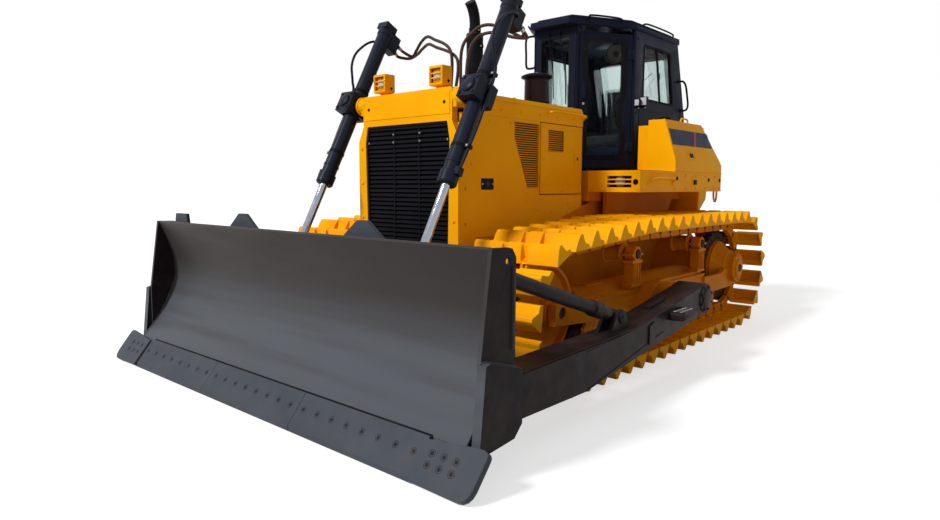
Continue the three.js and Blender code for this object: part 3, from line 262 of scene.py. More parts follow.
class Shape:
    """Closed solids that will become one object; each face keeps a material name."""

    def __init__(self, mat):
        self.verts, self.faces, self.mats, self.mat = [], [], [], mat

    def rings(self, rings, mat=None, loop=False):
        """Joins rings of equal point count into a closed skin, or into a closed loop."""
        n, count, base = len(rings[0]), len(rings), len(self.verts)
        spans = [(k * n, (k + 1) % count * n) for k in range(count if loop else count - 1)]
        faces = [[a + i, a + (i + 1) % n, b + (i + 1) % n, b + i] for a, b in spans for i in range(n)]
        if not loop:
            faces += [list(range(n))[::-1], [(count - 1) * n + i for i in range(n)]]
        self.verts += [tuple(point) for ring in rings for point in ring]
        self.faces += [[base + i for i in face] for face in faces]
        self.mats += [mat or self.mat] * len(faces)
        return self

    def stack(self, axis, layers, mat=None, loop=False):
        """(outline, place) pairs along an axis; an outline has the two other axes, in the order X, Y, Z."""
        return self.rings([[PLACE[axis](a, b, c) for a, b in outline] for outline, c in layers], mat, loop)

    def prism(self, outline, axis, low, high, mat=None):
        return self.stack(axis, ((outline, low), (outline, high)), mat)

    def border(self, axis, outer, inner, near, far, mat=None):
        """A frame round an open middle."""
        return self.stack(axis, ((outer, near), (outer, far), (inner, far), (inner, near)), mat, True)

    def box(self, x0, x1, y0, y1, z0, z1, mat=None):
        return self.prism(rectangle(x0, x1, y0, y1), "Z", z0, z1, mat)

    def lathe(self, start, direction, profile, sides=40, mat=None, loop=False):
        """Turns (distance along, radius) pairs round a line from start."""
        d = Vector(direction).normalized()
        u = d.orthogonal().normalized()
        w = d.cross(u)
        return self.rings([[Vector(start) + d * t + u * (r * c) + w * (r * s) for c, s in circle(sides, 1.0)]
            for t, r in profile], mat, loop)

    def rod(self, a, b, radius, sides=24, mat=None):
        length = (Vector(b) - Vector(a)).length
        c = min(2.0, radius * 0.4, length * 0.3)
        profile = [(0, radius - c), (c, radius), (length - c, radius), (length, radius - c)]
        return self.lathe(a, Vector(b) - Vector(a), profile, sides, mat)

    def tube(self, points, radius, sides=12, steps=6, mat=None):
        """A round bar along a smooth curve through points."""
        path, rings, u = smooth(points, steps), [], None
        for i, p in enumerate(path):
            d = (path[min(i + 1, len(path) - 1)] - path[max(i - 1, 0)]).normalized()
            u = (u - d * u.dot(d)).normalized() if u else d.orthogonal().normalized()
            w = d.cross(u)
            rings.append([p + (u * c + w * s) * radius for c, s in circle(sides, 1.0)])
        return self.rings(rings, mat)

    def bolts(self, spots, normal, radius=11, mat=None):
        """At each spot a washer and a hexagon head."""
        n = Vector(normal).normalized()
        head = [(0, radius), (radius * 0.6, radius), (radius * 0.75, radius * 0.82)]
        for spot in spots:
            self.lathe(spot, n, [(-1, radius * 1.45), (2.5, radius * 1.4)], 14, mat)
            self.lathe(Vector(spot) + n * 2, n, head, 6, mat)

    def bolt(self, spot, normal, radius=11, mat=None):
        self.bolts([spot], normal, radius, mat)

    def mirrored(self, side):
        """Itself on the left (side 1), its mirror image on the right (side -1)."""
        self.verts = [(x * side, y, z) for x, y, z in self.verts]
        return self


def smooth(points, steps):
    """Points on a Catmull-Rom curve through the given ones."""
    p = [Vector(q) for q in points]
    p = [p[0] * 2 - p[1]] + p + [p[-1] * 2 - p[-2]]
    out = []
    for a, b, c, d in zip(p, p[1:], p[2:], p[3:]):
        for k in range(steps):
            t = k / steps
            out.append(0.5 * (2 * b + (c - a) * t + (2 * a - 5 * b + 4 * c - d) * t * t
                + (3 * b - a - 3 * c + d) * t ** 3))
    return out + [p[-2]]


def placed(name, data):
    """An object of the scene that holds a mesh, a light or a camera."""
    obj = bpy.data.objects.new(name, data)
    bpy.context.scene.collection.objects.link(obj)
    return obj


def reworked(mesh, *steps):
    """Runs bmesh steps on a mesh."""
    work = bmesh.new()
    work.from_mesh(mesh)
    for step in steps:
        step(work)
    work.to_mesh(mesh)
    work.free()


def faced_out(work):
    bmesh.ops.recalc_face_normals(work, faces=work.faces)


def merged(work):
    """One vertex at each corner, and no edges across flat faces."""
    bmesh.ops.remove_doubles(work, verts=work.verts, dist=0.00002)
    bmesh.ops.dissolve_limit(work, angle_limit=math.radians(1.0), verts=work.verts, edges=work.edges)


def soften(obj, width, angle, miter):
    """Rounds the sharp edges; the width is in millimetres."""
    made = obj.modifiers.new("edges", "BEVEL")
    made.width, made.segments, made.limit_method = width / 1000, 2, "ANGLE"
    made.angle_limit, made.miter_outer, made.harden_normals = math.radians(angle), miter, True


def shade(mesh, angle):
    mesh.shade_smooth()
    mesh.set_sharp_from_angle(angle=math.radians(angle))


def build(name, shape, body="chassis", replaces=(), bevel=0.0, angle=32):
    """Makes the object in metres, gives it its materials and lets it ride on its body."""
    mesh = bpy.data.meshes.new(name)
    mesh.from_pydata([(x / 1000, (y + MID_Y) / 1000, z / 1000) for x, y, z in shape.verts], [], shape.faces)
    names = sorted(set(shape.mats), key=shape.mats.index)
    for m in names:
        mesh.materials.append(MAT[m])
    mesh.polygons.foreach_set("material_index", [names.index(m) for m in shape.mats])
    reworked(mesh, faced_out)
    shade(mesh, angle)
    obj = placed(name, mesh)
    if bevel:
        soften(obj, bevel, 40, "MITER_SHARP")
    if body:
        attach(obj, body)
    if replaces:
        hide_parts(*replaces)
    return obj


def dressed(name, mat, bevel=4.0, angle=34, regions=None):
    """A CAD node's own shape with rounded edges and a finish, in place of the node."""
    source = NODES[name]
    mesh = source.data.copy()
    mesh.name = name + "_finished"
    mesh.materials.clear()
    mesh.materials.append(MAT[mat])
    reworked(mesh, merged, faced_out)
    mesh.polygons.foreach_set("material_index", [0] * len(mesh.polygons))
    for i, (finish, belongs) in enumerate(regions or (), 1):
        mesh.materials.append(MAT[finish])
        for face in mesh.polygons:
            if belongs(face) and not face.material_index:
                face.material_index = i
    shade(mesh, angle)
    obj = placed(name + "_finished", mesh)
    soften(obj, bevel, 42, "MITER_ARC")
    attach(obj, source["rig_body"])
    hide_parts(name)
    return obj


def sided(name, side):
    return name + ("_left" if side > 0 else "_right")


def stand_in(node_name, suffix, shape, side, **finish):
    """A piece of one side that is shown in place of its CAD node."""
    name = sided(node_name, side)
    return build(name + suffix, shape.mirrored(side), replaces=[name], **finish)


def both(name):
    return [sided(name, side) for side in (1, -1)]


def on_both_sides(*parts):
    for side in (1, -1):
        for part in parts:
            part(side)


# ------------------------------------------------------------------ tracks
TRACK_X, SHOE_HALF, SHOE_COUNT, SHOE_PHASE, PIN_TO_BASE = 1080, 360, 45, 0.3, 48
SHOE_HEIGHT, LINK_HALF = 112, 46
IDLER, SPROCKET = (-1018, 560, 400), (2205, 595, 435)
CARRIERS = ((90, 893, 136), (1405, 897, 136))


def chain_line():
    """The chain's pin line: round the idler, over the carriers, round the sprocket, back along the ground."""
    wheels, points, start = [IDLER, *CARRIERS, SPROCKET], [], 1.5 * math.pi
    for i, (y, z, r) in enumerate(wheels):
        stop = -0.5 * math.pi
        if i < 3:
            dy, dz = wheels[i + 1][0] - y, wheels[i + 1][1] - z
            stop = math.atan2(dz, dy) + math.acos((r - wheels[i + 1][2]) / math.hypot(dy, dz))
        points += [(y + r * math.cos(a), z + r * math.sin(a)) for a in (start + (stop - start) * k / 160
            for k in range(161))]
        start = stop
    points.append(points[0])
    lengths = [0.0]
    for a, b in pairwise(points):
        lengths.append(lengths[-1] + math.dist(a, b))
    return points, lengths


CHAIN = chain_line()


def pin(share):
    """The point at a share of the chain's length, with its directions along and out."""
    points, lengths = CHAIN
    want, out = (share % 1.0) * lengths[-1], []
    for at in (want, want - 6, want + 6):
        at = min(max(at, 0.0), lengths[-1] - 1e-6)
        i = next(k for k in range(1, len(lengths)) if lengths[k] > at) if at else 1
        t = (at - lengths[i - 1]) / (lengths[i] - lengths[i - 1])
        out.append(Vector(points[i - 1]).lerp(Vector(points[i]), t))
    along = (out[2] - out[1]).normalized()
    return out[0], along, Vector((-along.y, along.x))


FULL = [(-84, 0), (-74, 24), (-58, 52), (-40, 80), (-17, 107), (-11, SHOE_HEIGHT), (9, SHOE_HEIGHT),
    (15, 107), (27, 78), (40, 52), (50, 42), (80, 37), (90, 30), (92, 0)]
WELL = [(-84, 0), (-70, 6), (-54, 10), (-34, 16), (-13, 100), (-9, 106), (7, 106), (11, 100), (24, 26),
    (40, 14), (54, 12), (78, 10), (90, 8), (92, 0)]
HOLLOW = [(74, 0), (70, 20), (46, 26), (12, 88), (-12, 88), (-34, 60), (-56, 28), (-66, 0)]
FILLED = [(a, 0) for a in (74, 54, 34, 14, -8, -28, -48, -66)]


def shoe_rings(at):
    """One shoe across the track: a hollow ridge in three stretches, closed by ribs, with two bolt wells."""
    stretches = [(-SHOE_HALF, -SHOE_HALF + 9), (-108, -57), (57, 108), (SHOE_HALF - 9, SHOE_HALF)]
    rings = []

    def ring(x, outer, inner):
        rings.append([at(a, h, x) for a, h in outer + inner])

    for i, (x0, x1) in enumerate(stretches):
        if i:
            ring(x0 - 0.2, FULL, HOLLOW)
        ring(x0, FULL, FILLED)
        if i in (1, 2):
            ring(x0 + 9, WELL, FILLED)
            ring(x1 - 9, WELL, FILLED)
        ring(x1, FULL, FILLED)
        if i < 3:
            ring(x1 + 0.2, FULL, HOLLOW)
    return rings


def track(side):
    shoes = Shape("track")
    for k in range(SHOE_COUNT):
        p, along, out = pin((k + SHOE_PHASE) / SHOE_COUNT)

        def at(a, h, x):
            q = p + along * a + out * (PIN_TO_BASE + h)
            return (TRACK_X + x, q.x, q.y)

        shoes.rings(shoe_rings(at))
        for dx, (a, h) in product((-82.5, 82.5), ((-56, 10), (58, 12))):
            foot = Vector(at(a, h - 1, dx))
            shoes.bolt(foot, Vector(at(a, h + 9, dx)) - foot, 12)
        for dx in (-94, -66, 66, 94):
            a0, a1 = (-106, 86) if abs(dx) < 80 else (-88, 104)
            link = ((a0, -18), (a0 + 16, -LINK_HALF), (a1 - 16, -LINK_HALF), (a1, -18), (a1, 22),
                (a1 - 22, PIN_TO_BASE - 1), (a0 + 22, PIN_TO_BASE - 1), (a0, 22))
            shoes.rings([[at(a, h - PIN_TO_BASE, x) for a, h in link] for x in (dx - 10, dx + 10)], "under")
        p, _, _ = pin((k + SHOE_PHASE + 0.5) / SHOE_COUNT)
        shoes.rod((TRACK_X - 70, p.x, p.y), (TRACK_X + 70, p.x, p.y), 29, 14, "rust")
        shoes.rod((TRACK_X - 108, p.x, p.y), (TRACK_X + 108, p.x, p.y), 19, 12, "rust")
    return stand_in("track", "_shoes", shoes, side, angle=24)


def idler(side):
    y, z, r = IDLER
    inner = r - LINK_HALF - 1
    wheel = Shape("under")
    web = [(0, inner - 44), (2, inner - 18), (30, inner - 16), (34, inner), (130, inner), (134, inner - 16),
        (162, inner - 18), (164, inner - 44), (130, inner - 60), (126, 170), (164, 130), (164, 60), (0, 60),
        (0, 130), (38, 170), (34, inner - 60)]
    wheel.lathe((TRACK_X - 82, y, z), LEFT, web, 56)
    wheel.rod((TRACK_X - 205, y, z), (TRACK_X + 205, y, z), 44.6, 28, "rust")
    for s in (-1, 1):
        wheel.lathe((TRACK_X + s * 82, y, z), (s, 0, 0), [(0, 112), (50, 104), (58, 92), (58, 46)], 32)
        wheel.bolts([(TRACK_X + s * 139, y + a, z + b) for a, b in circle(8, 74)], (s, 0, 0), 8)
    return stand_in("idler", "_wheel", wheel, side)


def final_drive(side):
    y, z, _ = SPROCKET
    cone = Shape("under")
    cone.lathe((TRACK_X + 58.4, y, z), LEFT, [(0, 262), (16, 262), (24, 246), (70, 214), (118, 182),
        (132, 176), (140, 160), (160, 150), (166, 147), (214, 147), (220, 140), (221, 96), (234, 92),
        (238, 84), (238, 30)], 56)
    for a, b in circle(16, 1.0, 0.5):
        cone.bolt((TRACK_X + 74, y + 236 * a, z + 236 * b), (1, 0.25 * a, 0.25 * b), 11)
    cone.bolts([(TRACK_X + 278, y + a, z + b) for a, b in circle(8, 120)], LEFT, 10)
    cone.lathe((TRACK_X + 292, y, z), LEFT, [(0, 40), (12, 38), (18, 26), (20, 0.5)], 24, "rust")
    return stand_in("final_drive", "_case", cone, side)


def sprocket(side):
    """A toothed rim with a ring of bolts on a plain hub."""
    y, z, r = SPROCKET
    teeth, wheel = 27, Shape("rust")
    outline = []
    tooth = ((-0.34, 36), (-0.2, 30), (-0.09, 6), (0.09, 6), (0.2, 30), (0.34, 36))
    for i, (share, depth) in product(range(teeth), tooth):
        a, b = circle(teeth, r - LINK_HALF - depth, i + share)[0]
        outline.append((y + a, z + b))
    wheel.prism(outline, "X", TRACK_X - 36, TRACK_X + 36)
    wheel.lathe((TRACK_X - 60, y, z), LEFT, [(0, 255), (8, 270), (110, 270), (118, 255), (118, 100)], 48,
        "under")
    wheel.bolts([(TRACK_X + 36, y + a, z + b) for a, b in circle(teeth, 305, 0.5)], LEFT, 10)
    return stand_in("sprocket", "_rim", wheel, side)


def rollers(side):
    """Seven flanged track rollers between two long guard plates with their bolts."""
    start, pitch, r = IDLER[0] + 418, 394, 108
    z = IDLER[1] - IDLER[2] + LINK_HALF + r + 0.6
    row = Shape("under")
    for dx in (-172, 150):
        low, high = TRACK_X + dx, TRACK_X + dx + 22
        row.prism([(start - 100, z - 18), (start - 60, z - 78), (start + pitch * 6 + 50, z - 78),
            (start + pitch * 6 + 80, z - 18), (start + pitch * 6 + 60, 439.6), (start - 30, 439.6)], "X", low,
            high)
    for i in range(7):
        y = start + pitch * i
        row.lathe((TRACK_X - 149, y, z), LEFT, [(0, 60), (20, 88), (66, 92), (70, r), (84, r), (88, 90),
            (210, 90), (214, r), (228, r), (232, 92), (278, 88), (298, 60)], 36, "rust")
        row.lathe((TRACK_X + 171, y, z), LEFT, [(0, 52), (8, 50), (12, 40), (12, 14)], 28)
        row.bolts([(TRACK_X + 172, y + a, z + b) for a, b in ((-64, 42), (64, 42), (-88, 72), (88, 72))],
            LEFT, 10)
    return stand_in("track_rollers", "_row", row, side)


def carriers(side):
    """Two flanged carrier rollers, each in a split clamp on a bolted column."""
    made = Shape("under")
    for y, z, _ in CARRIERS:
        made.lathe((TRACK_X - 95, y, z), LEFT, [(0, 60), (4, 84), (10, 89), (26, 89), (30, 70), (160, 70),
            (164, 89), (180, 89), (186, 84), (190, 60)], 40)
        made.rod((TRACK_X + 60, y, z), (1295, y, z), 40, 28, "rust")
        made.lathe((1196, y, z), LEFT, [(0, 58), (5, 64), (86, 64), (92, 58), (93, 34)], 36)
        made.lathe((1288, y, z), LEFT, [(0, 42), (9, 38), (12, 30), (12, 8)], 24, "rust")
        made.box(1194, 1290, y - 84, y + 84, z - 74, z - 50)
        made.box(1194, 1290, y - 96, y + 96, z - 14, z + 4)
        made.bolts([(x, y + dy, z + 4) for dy, x in product((-80, 80), (1220, 1260))], UP, 9)
        # A ribbed column that widens to its foot
        made.rings([[(1198, y - a, h), (1286, y - a, h), (1286, y + a, h), (1198, y + a, h)]
            for a, h in ((82, 625), (82, 648), (58, 656), (54, z - 78), (70, z - 72))])
        for dy in (-36, 0, 36):
            made.box(1285, 1296, y + dy - 5, y + dy + 5, 650, z - 78)
        made.bolts([(1240, y - 68, 648), (1240, y + 68, 648)], UP, 9)
    made.box(1190, 1255, 90 - 68, 1405 + 68, 600.4, 625)
    return stand_in("carrier_rollers", "_set", made, side, bevel=2.0)


on_both_sides(track, idler, final_drive, sprocket, rollers, carriers)
# Track frames take the darker "under" copy of the yellow paint as painted shade
for name in both("track_frame"):
    dressed(name, "under", 5.0)


def frame_trim(side):
    """Welds, bolts and bolted covers on the track frame and its outrigger."""
    trim = Shape("under")
    trim.bolts([(1271, y + dy, 470) for y, dy in product((-380, 120, 620, 1120), (0, 110))], LEFT, 12)
    # Inspection cover over the track adjuster, on the raised top
    trim.box(990, 1096, -380, -120, 659, 667)
    trim.bolts([(x, y, 667) for y, x in product((-366, -134), (1002, 1084))], UP, 8)
    trim.lathe((1489, 342, 550), LEFT, [(0, 112), (10, 108), (14, 70), (14, 62)], 40)
    trim.bolts([(1501, 342 + a, 550 + b) for a, b in circle(8, 88, 0.5)], LEFT, 9)
    trim.tube([(1401, 30, 446), (1401, 180, 630), (1401, 500, 630), (1401, 660, 446)], 6, 8)
    return build(sided("frame_trim", side), trim.mirrored(side))


on_both_sides(frame_trim)


# ------------------------------------------------------------------ blade, push arms and braces
EDGE_TIP, EDGE_TOP = Vector((-2730, 3)), Vector((-2579, 192))
EDGE_DOWN = (EDGE_TIP - EDGE_TOP).normalized()
EDGE_OUT = Vector((EDGE_DOWN.y, -EDGE_DOWN.x))
EDGE_LENGTH = (EDGE_TIP - EDGE_TOP).length
BLADE_HALF, BLADE_TOP, BIT_HALF, EDGE_HALF = 1810, 1138, 1955, 1570
ARM_OUTER = 1760
BRACE_FOOT, BRACE_HEAD, BRACE_X = (-900, 572), (-2185, 985), 1633
SUNK_HEAD = [(0, 22), (1, 21), (1.2, 17), (-3, 16), (-3, 12), (2, 11), (2, 4)]  # of the edge's bolts


def on_edge(x, a, h):
    """A point of the sloping edge face: across, down the slope and out of it."""
    p = EDGE_TOP + EDGE_DOWN * a + EDGE_OUT * h
    return (x, p.x, p.y)


def edge_slab(shape, outline, low, high):
    return shape.rings([[on_edge(x, a, h) for x, a in outline] for h in (low, high)])


def cutting_edge():
    """Three bolted straight edges with hairline joints, and an end bit at each corner."""
    steel = Shape("edge")
    joints = (-EDGE_HALF, -523, 523, EDGE_HALF)
    for x0, x1 in pairwise(joints):
        edge_slab(steel, rectangle(x0 + 1.5, x1 - 1.5, 2, EDGE_LENGTH - 22), 0.6, 25)
        steel.rings([[on_edge(x, a, h) for a, h in ((EDGE_LENGTH - 22.2, 0.6), (EDGE_LENGTH - 22.2, 25),
            (EDGE_LENGTH - 1, 6), (EDGE_LENGTH, 0.6))] for x in (x0 + 1.5, x1 - 1.5)])
        for i in range(8):
            x = (x0 + x1) / 2 + 136 * (i - 3.5) * (0.94 if abs(x0 + x1) < 10 else 0.98)
            steel.lathe(on_edge(x, 98, 24), (0, EDGE_OUT.x, EDGE_OUT.y), SUNK_HEAD, 20, "arm")
    for s in (1, -1):
        outline = [(s * x, a) for x, a in ((EDGE_HALF + 1.5, 20), (BLADE_HALF + 80, -16),
            (BIT_HALF - 34, -16), (BIT_HALF - 14, -10), (BIT_HALF - 3, 2), (BIT_HALF, 20),
            (BIT_HALF - 4, EDGE_LENGTH - 76), (BIT_HALF - 10, EDGE_LENGTH - 44),
            (BIT_HALF - 24, EDGE_LENGTH - 20), (BIT_HALF - 46, EDGE_LENGTH - 4),
            (BIT_HALF - 76, EDGE_LENGTH + 2), (EDGE_HALF + 60, EDGE_LENGTH - 2),
            (EDGE_HALF + 1.5, EDGE_LENGTH - 2))]
        edge_slab(steel, outline, 1, 39)
        for dx in (70, 150, 230):
            for a in (78, 138):
                steel.lathe(on_edge(s * (EDGE_HALF + dx), a, 38), (0, EDGE_OUT.x, EDGE_OUT.y), SUNK_HEAD, 20,
                    "arm")
    return build("cutting_edge_bolted", steel, "blade_arm", ["cutting_edge"], bevel=2.5)


def weld(shape, points, radius=5.0, mat=None):
    """A weld bead: a slightly lumpy bar along straight runs."""
    for a, b in pairwise(Vector(p) for p in points):
        n = max(2, int((b - a).length / 14))
        profile = [(0, radius * 0.5)]
        profile += [((b - a).length * (i + 0.5) / n, radius * (1.0 if i % 2 else 0.86)) for i in range(n)]
        shape.lathe(a, b - a, profile + [((b - a).length, radius * 0.5)], 8, mat)


def blade_trim():
    """Welds, a smooth rolled face and the joint line that the bare node leaves out."""
    trim = Shape("blade")
    for s in (1, -1):
        x = s * (BLADE_HALF - 24)
        # Curved weld where the mouldboard meets the end plate
        face = [(-2579, 192), (-2500, 283), (-2434, 372), (-2380, 465), (-2336, 558), (-2300, 640),
            (-2281, 735), (-2285, 845), (-2321, 975), (-2365, 1062), (-2408, 1134)]
        weld(trim, [(x - s * 2, y - 3, z) for y, z in face], 7)
        # Seam along the foot of the end plate
        weld(trim, [(s * (BLADE_HALF + 2), -2512, 590), (s * (BLADE_HALF + 2), -2480, 603),
            (s * (BLADE_HALF + 2), -2226, 528)], 6)
        # Rear plate edges and a stiffening bar on the outside
        trim.rings([[(s * (BLADE_HALF - 1), y, z) for y, z in ((-2262, 620), (-2240, 620), (-2240, 1040),
            (-2262, 1052))], [(s * (BLADE_HALF + 12), y, z) for y, z in ((-2258, 628), (-2244, 628),
            (-2244, 1034), (-2258, 1044))]])
    # The smooth rolled face from the cutting edge to the top
    low = [Vector((-2579, 192)), Vector((-2372, 400)), Vector((-2300, 640))]
    top = [Vector((-2300, 640)), Vector((-2262, 830)), Vector((-2410, 1138))]
    curve = [a * (1 - t) ** 2 + b * (2 * t * (1 - t)) + c * t * t for a, b, c in (low, top)
        for t in (k / 20 for k in range(20))] + [top[2]]
    normals = []
    for i in range(len(curve)):
        d = (curve[min(i + 1, len(curve) - 1)] - curve[max(i - 1, 0)]).normalized()
        normals.append(Vector((-d.y, d.x)))
    front = [p + n * 5 for p, n in zip(curve, normals)]
    rear = [p - n * 2 for p, n in zip(curve, normals)][::-1]
    trim.rings([[(x, q.x, q.y) for q in front + rear] for x in (-BLADE_HALF + 24, BLADE_HALF - 24)])
    # Rolled lip along the top edge and the seam above the cutting edge
    trim.rod((-BLADE_HALF + 24, -2398, 1137), (BLADE_HALF - 24, -2398, 1137), 9, 12)
    trim.prism(((-2588, 192), (-2578, 188), (-2566, 200), (-2576, 205)), "X", -EDGE_HALF, EDGE_HALF, "rubber")
    for x in (-1150, -250, 250, 1150):
        weld(trim, [(x + 14, -2231, 480), (x + 14, -2231, 850)], 5)
        weld(trim, [(x - 14, -2231, 480), (x - 14, -2231, 850)], 5)
    for x in (-685, 685):
        for dx in (-78, 52):
            for edge in (-3, 29):
                weld(trim, [(x + dx + edge, -2262, 570), (x + dx + edge, -2262, 950)], 5)
        for s in (-1, 1):
            trim.lathe((x + s * 88, -1929, 720), (s, 0, 0), [(0, 40), (10, 38), (14, 30), (14, 12)], 28,
                "arm")
            trim.bolt((x + s * 102, -1929, 720), (s, 0, 0), 11, "arm")
    return build("blade_trim", trim, "blade_arm", bevel=1.5)


# Faces of the blade's end plates, which get painted shade
def end_plate_in_painted_shade(face):
    return abs(face.normal.x) > 0.9 and abs(face.center.x) * 1000 > BLADE_HALF - 30


def on_shield(face):
    return face.center.z * 1000 > BLADE_TOP - 80 and -2.32 < face.center.y < -2.27


# The blade's end plates take the near-black arm paint: painted shade on its sides
dressed("blade", "blade", regions=(("arm", end_plate_in_painted_shade), ("edge", on_shield)))
cutting_edge()
blade_trim()


def arm_finish(side):
    dressed(sided("push_arm", side), "arm", 6.0)
    arm = Shape("arm")
    outer = ARM_OUTER
    # Bolted trunnion cap, its dowel plate and the joint plate half-way along the beam
    arm.lathe((outer - 1, 342, 550), LEFT, [(0, 116), (8, 112), (12, 78), (20, 74), (24, 60), (24, 20)], 44)
    arm.bolts([(outer + 9, 342 + a, 550 + b) for a, b in circle(8, 94, 0.5)], LEFT, 12)
    arm.prism(((-640, 345), (-560, 360), (-560, 500), (-640, 476)), "X", outer - 1, outer + 10)
    for y0, y1, z0, z1 in ((-1450, -400, 203, 402), (-1450, -860, 446, 482)):
        weld(arm, [(outer + 1, y0, z0), (outer + 1, y1, z1)], 4)
    weld(arm, [(outer - 8, -2184, 452), (outer - 8, -880, 486)], 5)
    weld(arm, [(outer - 8, -2188, 206), (outer - 8, -1450, 201)], 5)
    # Perforated tread and lip of the step
    arm.box(outer + 8, outer + 116, -322, -88, 534, 538)
    for i, x in product(range(5), (outer + 34, outer + 80)):
        arm.lathe((x, -300 + 46 * i, 537), UP, [(0, 14), (3, 12), (3, 7), (0.5, 6)], 16, "steel")
    arm.box(outer + 112, outer + 119, -326, -84, 504, 540)
    # Brace pin with its keeper plates
    y, z = BRACE_FOOT
    for s, x in ((-1, BRACE_X - 58), (1, BRACE_X + 58)):
        arm.lathe((x, y, z), (s, 0, 0), [(0, 44), (9, 42), (12, 34), (12, 12)], 30)
        arm.bolt((x + s * 12, y, z), (s, 0, 0), 9)
    # Thick pad where the arm meets the blade
    arm.prism(((-2189, 210), (-2120, 208), (-2120, 442), (-2189, 440)), "X", outer - 2, outer + 16)
    arm.bolts([(outer + 16, -2154, z) for z in (250, 325, 400)], LEFT, 14)
    build(sided("push_arm_trim", side), arm.mirrored(side), "blade_arm", bevel=1.5)


on_both_sides(arm_finish)


def strut(name, x, profile, extra=None):
    """An eye at each end and a turned body between them; profile is (share of the length, radius)."""
    foot, head = Vector((x, *BRACE_FOOT)), Vector((x, *BRACE_HEAD))
    made = Shape("arm")
    for end in (foot, head):
        made.lathe(end - Vector((32.6, 0, 0)), LEFT, [(0, 42), (4, 46), (61, 46), (65.2, 42)], 36)
        made.rod(end - Vector((74, 0, 0)), end + Vector((74, 0, 0)), 22, 24)
    span = (head - foot).length
    made.lathe(foot, head - foot, [(share * span + d, r) for share, d, r in profile], 36)
    if extra:
        extra(made, foot, (head - foot).normalized(), span)
    return build(name + "_turned", made, "blade_arm", [name], bevel=1.0)


def threads(made, foot, along, span):
    """Coarse adjusting thread next to the brace's sleeve."""
    for i in range(9):
        made.lathe(foot + along * (0.9 * span + 4 + i * 9), along, [(0, 28), (4, 33), (8, 28)], 28, "steel")
    for i in (0.16, 0.22):
        made.lathe(foot + along * (i * span), along, [(0, 55), (4, 57), (20, 57), (24, 55)], 6)


def tilt_fittings(made, foot, along, span):
    side = Vector((0, -along.z, along.y))
    for share in (0.16, 0.56):
        base = foot + along * (share * span)
        made.rod(base + side * 50, base + side * 92, 20, 18)
        made.rod(base + side * 88, base + side * 104, 13, 6, "steel")
    made.lathe(foot + along * (0.62 * span), along, [(0, 60), (8, 60), (14, 40)], 32)
    cap = foot + along * (0.62 * span + 6)
    made.bolts([cap + Vector(LEFT) * a + side * b for a, b in circle(6, 52)], along, 7)


strut("brace_left", BRACE_X, [(0, 30, 20), (0.04, 0, 27), (0.075, 0, 27), (0.082, 0, 44), (0.14, 0, 45),
    (0.145, 0, 54), (0.235, 0, 54), (0.24, 0, 44), (0.895, 0, 44), (0.9, 0, 27), (0.96, 0, 27), (1, -30, 20)],
    threads)
strut("tilt_cylinder_right", -BRACE_X, [(0, 30, 20), (0.04, 0, 30), (0.095, 0, 34), (0.1, 0, 56),
    (0.12, 0, 58), (0.575, 0, 58), (0.58, 0, 66), (0.615, 0, 66), (0.62, 0, 58), (0.625, 0, 27),
    (0.96, 0, 27), (1, -30, 20)], tilt_fittings)


# ------------------------------------------------------------------ lift cylinders
LIFT_X, LIFT_PIN, YOKE = 685, Vector((-1929, 720)), Vector((-1214, 2088))
LIFT_LINE = (LIFT_PIN - YOKE).normalized()
BARREL_ABOVE, BARREL_BELOW = 770, 722
LIFT_AXIS = Vector((0, LIFT_LINE.x, LIFT_LINE.y))


def on_lift(dx, distance, forward=0.0):
    """A point beside the left cylinder, measured down its line from the yoke and off it to the front."""
    return Vector((LIFT_X + dx, YOKE.x + LIFT_LINE.x * distance + LIFT_LINE.y * forward, YOKE.y
        + LIFT_LINE.y * distance - LIFT_LINE.x * forward))


LIFT_BACK = on_lift(0, 0, -1) - on_lift(0, 0)
UNIONS = ((-18, 40), (18, 88))  # of the two hoses on the manifold: across, and down from the barrel's top


def lift_block(shape, x0, x1, a0, a1, f0, f1, mat=None):
    return shape.rings([[on_lift(x, a, f) for a, f in rectangle(a0, a1, f0, f1)] for x in (x0, x1)], mat)


